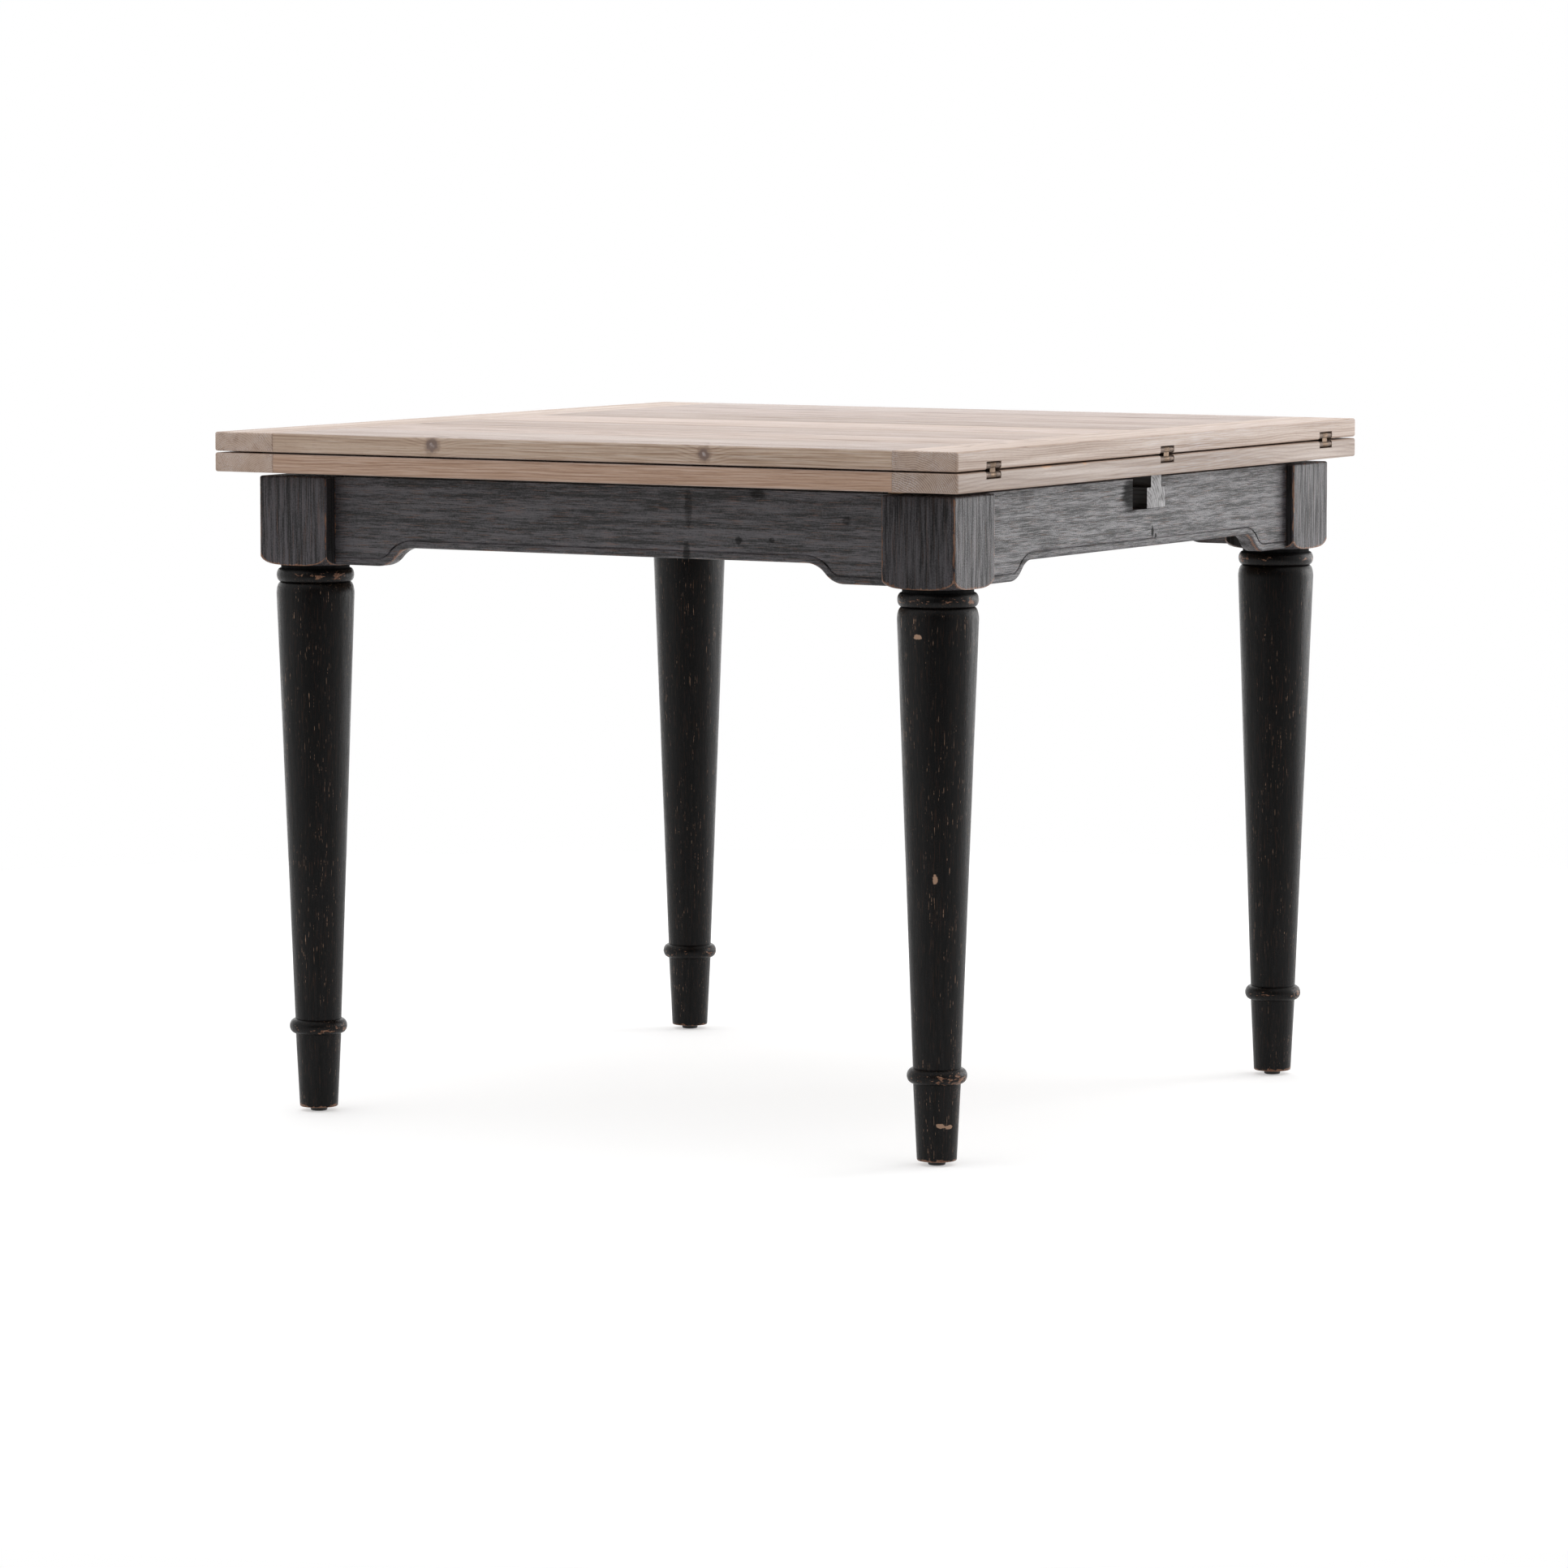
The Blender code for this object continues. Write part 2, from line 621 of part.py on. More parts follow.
def link_body():
    """A dog-bone: two eyes joined by a narrower waist."""
    waist = LINK_WAIST / 2
    rise = math.asin(math.sqrt(KNUCKLE_RADIUS**2 - waist**2) / KNUCKLE_RADIUS)
    radii = (KNUCKLE_RADIUS, KNUCKLE_RADIUS)
    lower = arc((0, 0), radii, math.pi - rise, 2 * math.pi + rise, 10)
    upper = arc((0, LINK_LENGTH), radii, -rise, math.pi + rise, 10)
    return prism(lower + upper, "Y", -LINK_WIDTH / 2, LINK_WIDTH / 2)


def hinge_pocket():
    """The recess for a knuckle plate, open to the leaf's edge and to its face at z = PIN_INSET."""
    back = KNUCKLE_RADIUS + 2 * FIT
    deep = -KNUCKLE_RADIUS - FIT
    shallow = KNUCKLE_RADIUS - STRAP_THICKNESS - FIT
    far = -strap_reach() - FIT
    out = 2 * PIN_INSET
    outline = [(far, out), (far, shallow), (-back, shallow), (-back, deep), (out, deep), (out, out)]
    return prism(outline, "Y", -HINGE_WIDTH / 2 - FIT, HINGE_WIDTH / 2 + FIT)


def make_hinge(where, y, leaf_axes, breadboards):
    """One hinge: a plate and a pin in each leaf, and the link between the pins."""
    lower_axis, link_axis, upper_axis = leaf_axes
    pins = {
        "lower": ((PIN_X, y, LOWER_PIN_Z), (0, 0, 0), lower_axis),
        "upper": ((PIN_X, y, UPPER_PIN_Z), (math.pi, 0, 0), upper_axis),
    }
    bore = PIN_RADIUS + PIN_PLAY
    link_place = pins["lower"][0]
    link = piece("hinge_link_" + where, link_body(), BROWN_BRONZE, link_axis, link_place, smooth=True)
    for leaf, (place, turn, axis) in pins.items():
        name = f"hinge_{leaf}_plate_{where}"
        plate = piece(name, knuckle_plate(), DARK_STEEL, axis, place, turn, smooth=True)
        hole = helper(name + "_bore", rod(bore, 2 * HINGE_WIDTH), place)
        combine(plate, "DIFFERENCE", helper(name + "_slot", link_slot(), place, turn))
        combine(plate, "DIFFERENCE", hole)
        combine(link, "DIFFERENCE", hole)
        pocket = helper(name + "_pocket", hinge_pocket(), place, turn)
        combine(breadboards[leaf], "DIFFERENCE", pocket)
        pin = rod(PIN_RADIUS, HINGE_WIDTH)
        piece(f"hinge_{leaf}_pin_{where}", pin, DARK_STEEL, axis, place, smooth=True)


def make_bumper(where, side_y, parent):
    high = SEAM - FIT
    profile = [(0, FIT), (BUMPER_RADIUS, FIT), (BUMPER_RADIUS, high / 2), (BUMPER_RADIUS * 0.8, high), (0, high)]
    place = (-TOP_LENGTH / 2 + BUMPER_INSET, side_y * (TOP_WIDTH / 2 - BUMPER_INSET), LOWER_LEAF_TOP)
    piece("bumper_" + where, turned(profile, 16), CLEAR_SILICONE, parent, place, smooth=True)


def main():
    for item in list(bpy.data.objects):
        bpy.data.objects.remove(item)

    frame = axis_empty("frame_root", (FRAME_X, 0, 0))
    slide = axis_empty("top_slide_axis", (0, RUNNER_OFFSET, LOWER_LEAF_BOTTOM), frame)
    link_fold = axis_empty("link_fold_axis", (PIN_X, 0, LOWER_PIN_Z), slide)
    leaf_fold = axis_empty("leaf_fold_axis", (PIN_X, 0, UPPER_PIN_Z), link_fold)

    corners = {
        "front_left": (-1, -1),
        "front_right": (1, -1),
        "back_right": (1, 1),
        "back_left": (-1, 1),
    }
    for where, (side_x, side_y) in corners.items():
        make_leg(where, side_x, side_y, frame)
        make_brace(where, side_x, side_y, frame)

    right_angle = math.pi / 2
    make_apron("apron_front", SIDE_APRON_HALF, (FRAME_X, -SIDE_APRON_OUTER, FRAME_TOP), 0, frame)
    make_apron("apron_back", SIDE_APRON_HALF, (FRAME_X, SIDE_APRON_OUTER, FRAME_TOP), 2 * right_angle, frame)
    way = runner_way()
    for where, side_x in (("hinge_end", 1), ("slide_end", -1)):
        place = (FRAME_X + side_x * END_APRON_OUTER, 0, FRAME_TOP)
        apron = make_apron("apron_" + where, END_APRON_HALF, place, side_x * right_angle, frame)
        combine(apron, "DIFFERENCE", way)
        make_rail(where, side_x, way, frame)
    make_felt("felt_strip_front", -1, frame)
    make_felt("felt_strip_back", 1, frame)

    make_runner(slide)
    half_leaf = LEAF_THICKNESS / 2
    breadboards = {
        "lower": make_leaf("lower", LOWER_LEAF_BOTTOM + half_leaf, slide),
        "upper": make_leaf("upper", UPPER_LEAF_BOTTOM + half_leaf, leaf_fold),
    }
    for where, y in (("front", -HINGE_Y), ("middle", 0), ("back", HINGE_Y)):
        make_hinge(where, y, (slide, link_fold, leaf_fold), breadboards)
    make_bumper("front", -1, slide)
    make_bumper("back", 1, slide)


main()
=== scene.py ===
"""Looks of a fold-over extending table: limed pine leaves on a rubbed black base.

Every shape is worked out in metres in the frame of the solids, from their boxes and from the sizes below.
"""

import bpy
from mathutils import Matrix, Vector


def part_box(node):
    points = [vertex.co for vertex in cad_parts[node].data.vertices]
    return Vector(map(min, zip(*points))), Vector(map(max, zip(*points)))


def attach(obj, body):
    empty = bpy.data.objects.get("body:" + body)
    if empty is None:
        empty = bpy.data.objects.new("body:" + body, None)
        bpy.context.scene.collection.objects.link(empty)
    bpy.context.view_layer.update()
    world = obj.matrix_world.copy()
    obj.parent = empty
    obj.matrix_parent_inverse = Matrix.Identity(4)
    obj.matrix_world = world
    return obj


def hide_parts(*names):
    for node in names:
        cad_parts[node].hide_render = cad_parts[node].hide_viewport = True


bl_info = {
    "name": "Fold-over table looks",
    "version": (1, 0, 0),
    "blender": (4, 5, 0),
    "location": "3D View > Sidebar > Table",
    "description": "Dresses a fold-over extending table: turned legs, aprons, leaves, hinges and a studio",
    "category": "Object",
}

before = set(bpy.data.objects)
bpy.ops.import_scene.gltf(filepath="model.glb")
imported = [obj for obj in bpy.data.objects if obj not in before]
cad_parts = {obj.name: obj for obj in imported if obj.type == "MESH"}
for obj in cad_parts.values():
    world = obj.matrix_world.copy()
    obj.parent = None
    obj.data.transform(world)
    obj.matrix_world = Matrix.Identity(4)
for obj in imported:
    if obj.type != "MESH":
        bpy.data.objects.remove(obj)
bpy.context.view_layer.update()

import math

import bpy
import numpy as np
from mathutils import Vector

CORNERS = ("front_left", "front_right", "back_right", "back_left")
HINGES = ("front", "middle", "back")
ENDS = ("hinge_end", "slide_end")
BOARDS = 7
FIT = 0.0003
SHARP_ANGLE = 35
X, Y, Z = 0, 1, 2
SEED = 11
BLACK = (0.0, 0.0, 0.0)
SMOOTH = {"interpolation_type": "SMOOTHSTEP"}
COLOURS = {"data_type": "RGBA"}

# How far rubbing reaches from an edge, and the wear below zero that marks painted shade, black on inner
# faces
CORNER_RUB = 0.0034
EDGE_RUB = 0.004
END_RUB = 0.003
FOOT_RUB = 0.005
INNER_SHADE = -0.8
# How far growth rings wander from a true circle, and how deep stain soaks in at a face
WANDER = 0.014
SOAK = 0.0003
# Rounding of an edge that is left square, and the slope of a notch's walls
SQUARE = 1e-5
NOTCH_STEP = 0.0001
# Length and width of the ragged edge of a rubbed place, along brushed grain and round a turning
BRUSHED_TEAR = (0.012, 0.0035)
TURNED_TEAR = (0.0028, 0.0075)

# Shares of the colour that the hinged end boards keep: inside, at the end grain and on the edge, where the
# share below one is painted shade
END_TONES = {
    "upper_breadboard_hinge_end": (1.0, 0.82, 0.84),
    "lower_breadboard_hinge_end": (0.90, 0.72, 0.73),
}
PLAIN_END = (1.0, 0.97, 1.0)
# Shares of red, green and blue in two dark boards, in the others, and on the wiped front and back edges
BOARD_SHADES = {"upper_board_6": (0.87, 0.89, 0.96), "upper_board_7": (0.79, 0.81, 0.88)}
PLAIN_SHADE = (0.98, 1.01, 1.07)
RIM_TONES = {"upper": (1.14, 1.08, 0.95), "lower": (1.04, 0.87, 0.72)}
RIM_LIME = 0.5
CLEAN_PINE = "#cfa583"

# Nicks in the lower hinged edge: place along it and half length, then drop, half depth and half height
NICKS = ((-0.283, 0.011), (-0.195, 0.004))
NICK_DROP = 0.0006
NICK_DEEP = 0.004
NICK_HIGH = 0.0022
# Knots in the upper front edge: run, level and radius
KNOTS = ((-0.1842, 0.7615, 0.0070), (0.1649, 0.7600, 0.0064))
# Smears and painted knots on the front and the hinge-end apron: run, level, half sizes and share of black
FRONT_SMEARS = (
    (0.1150, 0.7000, (0.0048, 0.02, 0.0240), 0.55),
    (0.1125, 0.6510, (0.0048, 0.02, 0.0100), 0.85),
    (0.2025, 0.7162, (0.0110, 0.02, 0.0050), 0.85),
    (0.1783, 0.6655, (0.0045, 0.02, 0.0045), 0.85),
    (0.2200, 0.6672, (0.0035, 0.02, 0.0035), 0.60),
    (0.3126, 0.6905, (0.0060, 0.02, 0.0048), 0.60),
)
END_SMEARS = (
    (0.0239, 0.6597, (0.01, 0.0030, 0.0070), 1.0),
    (0.0318, 0.6547, (0.01, 0.0022, 0.0035), 1.0),
)
# Painted shade beside the notch, with a smear of paint, in black: distance before the keeper, level, half
# sizes and share of black
NOTCH_SHADE_AND_SMEAR = (0.004, 0.703, (0.02, 0.022, 0.020), 1.0)
# Knocks on the front right leg: place and half sizes
LEG_KNOCKS = (
    ((0.4091, -0.4486, 0.5709), (0.0050, 0.0050, 0.0030)),
    ((0.4239, -0.4371, 0.3116), (0.0028, 0.0028, 0.0050)),
    ((0.4243, -0.4240, 0.0447), (0.0048, 0.0048, 0.0026)),
    ((0.4302, -0.4167, 0.0433), (0.0044, 0.0044, 0.0026)),
)
# A sooty face on the front right block: place, half sizes and share of black
BLOCK_SMEAR = ((0.405, -0.4509, 0.665), (0.060, 0.012, 0.070), 0.35)
# Screws in a hinge strap, from its inner end and from its middle line; on a brace, the stop and the runner
STRAP_SCREWS = ((0.006, 0), (0.018, -0.009), (0.018, 0.009))
BRACE_SCREWS = (-0.013, 0.013)
STOP_SCREWS = (-0.009, 0.009)
RUNNER_SCREWS = (-0.38, -0.15, 0.05, 0.38)
KEEPER_SCREW = 0.012
SLOT_DEPTH = 0.0007
SLOT_SLOPE = 0.0002
# How near the innermost line of a brace its face is taken
BRACE_FACE = 0.004

# Ranges of the random draws: the pith's place from the middle of a board or end board, a board's tone, its
# ring spacing, the log's lean in degrees, and what is added to its roughness
BOARD_PITH = ((0, -0.055, -0.14), (0, 0.055, -0.045))
END_PITH = ((-0.05, 0, -0.09), (0.05, 0, -0.03))
BOARD_TONE = (0.84, 1.12)
BOARD_RINGS = (0.85, 1.25)
BOARD_LEAN = (-1.2, 1.2)
END_LEAN = (-0.8, 0.8)
BOARD_DULL = (0.02, 0.10)


# Sizes and colours that a user may change


def linear(hex_colour):
    """The linear RGB of an sRGB hex colour."""
    shares = np.array([int(hex_colour[i : i + 2], 16) / 255 for i in (1, 3, 5)])
    return tuple(np.where(shares <= 0.04045, shares / 12.92, ((shares + 0.055) / 1.055) ** 2.4).tolist())


def number(name, description, default, **more):
    return bpy.props.FloatProperty(name=name, description=description, default=default, **more)


def size(name, description, default):
    return number(name, description, default, min=0.0, precision=4, unit="LENGTH")


def share(name, description, default):
    return number(name, description, default, min=0.0, max=1.0, subtype="FACTOR")


def several(name, description, default, **more):
    return bpy.props.FloatVectorProperty(
        name=name, description=description, default=default, size=len(default), **more
    )


def tint(name, description, hex_colour):
    return several(name, description, linear(hex_colour), min=0, max=1, subtype="COLOR")


class TableLegLook(bpy.types.PropertyGroup):
    """The turned legs, heights from a leg's own foot or down from its block."""

    block_height: size("Block height", "Height of the square block", 0.0998)
    block_ease: size("Block ease", "Radius of the block's upright corners", 0.0022)
    block_dome: size("Block dome", "Height of the turned dome at the block's corners", 0.0140)
    collar_drop: size("Collar drop", "From the block down to the collar's middle", 0.0122)
    collar_half: size("Collar half height", "Half the height of the collar bead", 0.0078)
    collar_radius: size("Collar radius", "Radius over the collar bead", 0.0436)
    neck_radius: size("Neck radius", "Radius of the grooves beside the collar", 0.0386)
    shoulder_drop: size("Shoulder drop", "From the block down to the shoulder", 0.0335)
    shoulder_radius: size("Shoulder radius", "Widest radius of the tapered shaft", 0.0439)
    shaft_foot_radius: size("Shaft foot radius", "Radius of the shaft over the ring", 0.0260)
    ring_height: size("Ring height", "From the foot up to the ring's middle", 0.0920)
    ring_half: size("Ring half height", "Half the height of the ring", 0.0083)
    ring_radius: size("Ring radius", "Radius over the ring", 0.0325)
    foot_top_radius: size("Foot top radius", "Radius of the foot under the ring", 0.0257)
    foot_radius: size("Foot radius", "Radius at the floor end of the foot", 0.0216)
    foot_ease: size("Foot ease", "Rounding of the foot's lower edge", 0.0015)


class TableApronLook(bpy.types.PropertyGroup):
    """The moulded aprons and the runner's notch in the end ones."""

    arch_rise: size("Arch rise", "How far the middle of the lower edge is raised", 0.0213)
    ogee_land: size("Ogee land", "Straight run of the lower edge beside a leg", 0.0563)
    ogee_run: size("Ogee run", "Length of the ogee along the apron", 0.047)
    bead_height: size("Bead height", "From the lower edge to the scratched groove", 0.0085)
    bead_groove: size("Bead groove", "Width of the scratched groove", 0.0022)
    bead_groove_depth: size("Groove depth", "Depth of the scratched groove", 0.0012)
    apron_ease: size("Apron ease", "Rounding of the lower edge", 0.003)
    flange_height: size("Flange height", "Height of the runner's flange", 0.023)
    stem_width: size("Stem width", "Width of the runner's stem", 0.0246)
    runner_play: size("Runner play", "Clearance round the runner", 0.0005)


class TablePaintLook(bpy.types.PropertyGroup):
    """The rubbed black paint."""

    paint_deep: tint("Deep paint", "Paint in the brushed furrows", "#0d0c0d")
    paint: tint("Paint", "Paint on the ribs of the grain", "#545054")
    shaft_deep: tint("Deep shaft paint", "Paint in the furrows of the turned shafts", "#020202")
    shaft: tint("Shaft paint", "Paint on the turned shafts", "#0c0a0a")
    rubbed: tint("Rubbed wood", "Stained wood where the paint is rubbed through", "#76523f")
    bare: tint("Bare wood", "Clean wood in chips and flecks", "#a3846f")
    # Also the black of painted shade in grooves, on inner faces and beside the notch.
    soot_and_shade: tint("Soot", "Black of smears and thick paint", "#0a0a0a")
    brushed_gloss: several("Brushed gloss", "Roughness in furrows and on ribs", (0.64, 0.29), min=0, max=1)
    turned_gloss: several("Turned gloss", "The same on the shafts", (0.46, 0.26), min=0, max=1)
    wear: share("Wear", "How much of the edges is rubbed through", 0.6)


class TableLeafLook(bpy.types.PropertyGroup):
    """The limed pine of the leaves."""

    edge_ease: size("Edge ease", "Rounding of the leaves' outer edges", 0.0025)
    glue_line: size("Glue line", "Gap drawn between two boards", 0.0001)
    ring_spacing: size("Ring spacing", "Distance between two growth rings", 0.0030)
    end_spacing: size("End ring spacing", "The same in the end boards", 0.0022)
    early: tint("Early wood", "Pale part of a growth ring", "#bda594")
    late: tint("Late wood", "Dark part of a growth ring", "#846855")
    lime: tint("Lime", "White left in the open grain", "#d7cfcf")
    knot: tint("Knot", "Heart of a knot", "#6f5b53")


class TableHardwareLook(bpy.types.PropertyGroup):
    """Hinges, screws, runner and the unpainted wood under the leaves."""

    screw_radius: size("Screw radius", "Radius of a screw head", 0.0030)
    screw_slot: size("Screw slot", "Width of the slot in a screw head", 0.0009)
    steel: tint("Browned steel", "Hinge plates and pins", "#5b4b40")
    screw: tint("Screw steel", "Slotted screws", "#80756a")
    bronze: tint("Brown bronze", "Hinge links", "#67523f")
    pine_early: tint("Sawn pine, early", "Pale part of the unpainted pine", "#c2a27a")
    pine_late: tint("Sawn pine, late", "Dark part of the unpainted pine", "#96704a")
    rail_spacing: size("Rail ring spacing", "Distance between two growth rings of the rails", 0.0042)
    runner_spacing: size("Runner ring spacing", "Distance between two growth rings of the runner", 0.0046)
    stain_early: tint("Grey stain, early", "Pale part of the stained runner", "#8b898a")
    stain_late: tint("Grey stain, late", "Dark part of the stained runner", "#3e3c3d")
    nylon: tint("Black nylon", "Glides under the feet", "#191919")
    felt: tint("Grey felt", "Strips under the leaves", "#4a4845")
    silicone: tint("Clear silicone", "Dots between the leaves", "#cfccc4")


class TableStageLook(bpy.types.PropertyGroup):
    """Camera, lights and floor."""

    eye: several("Eye", "Where the camera stands", (3.8905, -6.668, 1.108), subtype="TRANSLATION")
    yaw: number("Yaw", "Turn of the camera about the upright", math.radians(30.381), subtype="ANGLE")
    pitch: number("Pitch", "How far the camera looks down", math.radians(5.560), subtype="ANGLE")
    lens: number("Lens", "Focal length on a 36 mm sensor", 154.64, unit="CAMERA")
    floor: tint("Floor", "Colour of the floor", "#d0d0d0")
    floor_reach: size("Floor reach", "Radius of the floor; beyond it the room is as white", 2.6)
    floor_lift: share("Floor lift", "Light that the seen floor gives off to come out white", 0.45)
    ambient: number("Ambient", "Strength of the room's light on the table", 1.13, min=0.0)
    opening: share("Opening", "How much darker the room is round the camera", 0.92)
    far_wall: number("Far wall", "How much brighter the room is behind the table", 1.0, min=0.0)
    key_watts: number("Key", "Power of the softbox overhead", 9.0, min=0.0, unit="POWER")
    side_watts: number("Side", "Power of the softbox behind the hinged edge", 37.0, min=0.0, unit="POWER")


# Surfaces: grids of points worked out as whole arrays


def arc(centre, radii, start, end, steps):
    """Points along an ellipse's arc, both ends included, with angles in degrees."""
    angle = np.radians(np.linspace(start, end, steps + 1))
    return np.stack([centre[0] + radii[0] * np.cos(angle), centre[1] + radii[1] * np.sin(angle)], axis=1)


def closed_skin(points, wear=0.0, slots=0):
    """A grid points[row, column] as a closed skin.

    Columns join into rings that turn to the right hand about the direction of the rows, and each end ring
    is closed by a fan on its own middle. wear is a number per point, and slots a material per row of faces.
    """
    rows, columns = points.shape[:2]
    here = np.arange(rows * columns).reshape(rows, columns)
    beside = np.roll(here, -1, axis=1)
    quads = np.stack([here[:-1], beside[:-1], beside[1:], here[1:]], axis=-1).reshape(-1, 4)
    first = np.full(columns, rows * columns)
    low_fan = np.stack([first, beside[0], here[0]], axis=-1)
    high_fan = np.stack([first + 1, here[-1], beside[-1]], axis=-1)
    fans = np.concatenate([low_fan, high_fan])
    vertices = np.concatenate([points.reshape(-1, 3), points[[0, -1]].mean(axis=1)])
    worn = np.broadcast_to(wear, (rows, columns))
    worn = np.concatenate([worn.reshape(-1), worn[[0, -1]].mean(axis=1)])
    by_row = np.broadcast_to(slots, rows - 1)
    face_slots = np.concatenate([np.repeat(by_row, columns), np.repeat(by_row[[0, -1]], columns)])
    return vertices, quads, fans, worn, face_slots


def make_piece(name, skins, finishes, body, nodes=()):
    """One object from closed skins, riding on a body and standing for the named solids."""
    faces = []
    start = 0
    for vertices, quads, fans, _, _ in skins:
        faces += (quads + start).tolist() + (fans + start).tolist()
        start += len(vertices)
    mesh = bpy.data.meshes.new(name)
    mesh.from_pydata(np.concatenate([skin[0] for skin in skins]).tolist(), [], faces)
    for finish in finishes:
        mesh.materials.append(finish)
    slots = np.concatenate([skin[4] for skin in skins])
    mesh.polygons.foreach_set("material_index", slots.astype(np.int32))
    worn = mesh.attributes.new("wear", "FLOAT", "POINT")
    worn.data.foreach_set("value", np.concatenate([skin[3] for skin in skins]).astype(np.float32))
    mesh.shade_smooth()
    mesh.set_sharp_from_angle(angle=math.radians(SHARP_ANGLE))
    made = bpy.data.objects.new(name, mesh)
    bpy.context.scene.collection.objects.link(made)
    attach(made, body)
    if nodes:
        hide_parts(*nodes)


def dress(node, finish):
    """Gives a solid of the frame its finish."""
    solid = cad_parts[node]
    if not solid.material_slots:
        solid.data.materials.append(finish)
    for held in solid.material_slots:
        held.material = finish


def box(node):
    low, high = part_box(node)
    return np.array(low), np.array(high)


def square_reach(angle, half, ease):
    """How far a square with rounded corners reaches from its middle, and the turn from its face's middle.

    On a flat it is half / cos(turn). Round a corner it is where the ray leaves the corner's circle.
    """
    turn = np.abs((angle + math.pi / 4) % (math.pi / 2) - math.pi / 4)
    along = (half - ease) * (np.cos(turn) + np.sin(turn))
    rounded = along + np.sqrt(np.maximum(along**2 - 2 * (half - ease) ** 2 + ease**2, 0))
    return np.where(half * np.tan(turn) <= half - ease, half / np.cos(turn), rounded), turn


def leg_angles():
    """Angles round a leg, close together at the block's four corners."""
    near = np.array([0.45, 0.9, 1.4, 2.2, 3.4, 5.0, 8.0])
    corner = 45 + np.concatenate([-near[::-1], [0], near])
    between = np.linspace(45 + near[-1], 135 - near[-1], 16)[1:-1]
    quadrant = np.concatenate([corner, between])
    return np.radians(np.concatenate([quadrant + turn for turn in (0, 90, 180, 270)]))


def turned_rows(look, block):
    """The turned part of a leg as (radius, height, wear) rows from its foot up to the block.

    A tapered foot, a half-round ring, a straight tapered shaft, a quarter-round shoulder and a half-round
    collar. The foot's edge, the ring's lower side, the collar's crest and a line round the shoulder are
    rubbed, and the groove under the block is painted black as shade.
    """
    ease = look.foot_ease
    ring_low = look.ring_height - look.ring_half
    ring_high = look.ring_height + look.ring_half
    shoulder = block - look.shoulder_drop
    collar = block - look.collar_drop
    neck = collar - look.collar_half
    ring_swell = look.ring_radius - look.foot_top_radius
    collar_swell = look.collar_radius - look.neck_radius

    sole = arc((look.foot_radius - ease, ease), (ease, ease), -90, 0, 4)
    climb = np.array([0.03, 0.07, 0.13, 0.22, 0.4, 0.7])
    foot = np.stack(
        [
            look.foot_radius + climb * (look.foot_top_radius - look.foot_radius),
            ease + climb * (ring_low - ease),
        ],
        axis=1,
    )
    ring = arc((look.foot_top_radius, look.ring_height), (ring_swell, look.ring_half), -90, 90, 18)
    shaft = np.linspace((look.shaft_foot_radius, ring_high), (look.shoulder_radius, shoulder), 14)
    overhang = look.shoulder_radius - look.neck_radius
    rounding = arc((look.neck_radius, shoulder), (overhang, neck - shoulder), 0, 90, 10)
    bead = arc((look.neck_radius, collar), (collar_swell, look.collar_half), -90, 90, 18)
    groove = [(look.neck_radius, block)]
    profile = np.concatenate([sole, foot, ring[:-1], shaft, rounding[1:], bead[1:], groove])

    height = profile[:, 1]
    wear = np.exp(-height / FOOT_RUB)
    ring_crest = np.clip((profile[:, 0] - look.foot_top_radius) / ring_swell, 0, 1)
    on_ring = (height > ring_low) & (height < ring_high)
    wear = np.where(on_ring, 0.32 + 0.25 * ring_crest - 8 * (height - look.ring_height), wear)
    collar_crest = np.clip((profile[:, 0] - look.neck_radius) / collar_swell, 0, 1)
    wear = np.where(height > neck, 0.17 + 0.42 * collar_crest**2, wear)
    on_shoulder = (height > shoulder - 0.004) & (height <= neck)
    wear = np.where(on_shoulder, 0.42 * np.exp(-(((height - neck + 0.006) / 0.005) ** 2)), wear)
    # Painted shade: the groove under the block is coloured black.
    wear = np.where(height > collar + look.collar_half - 0.0015, -1, np.clip(wear, 0, 1))
    return profile[:, 0], height, wear


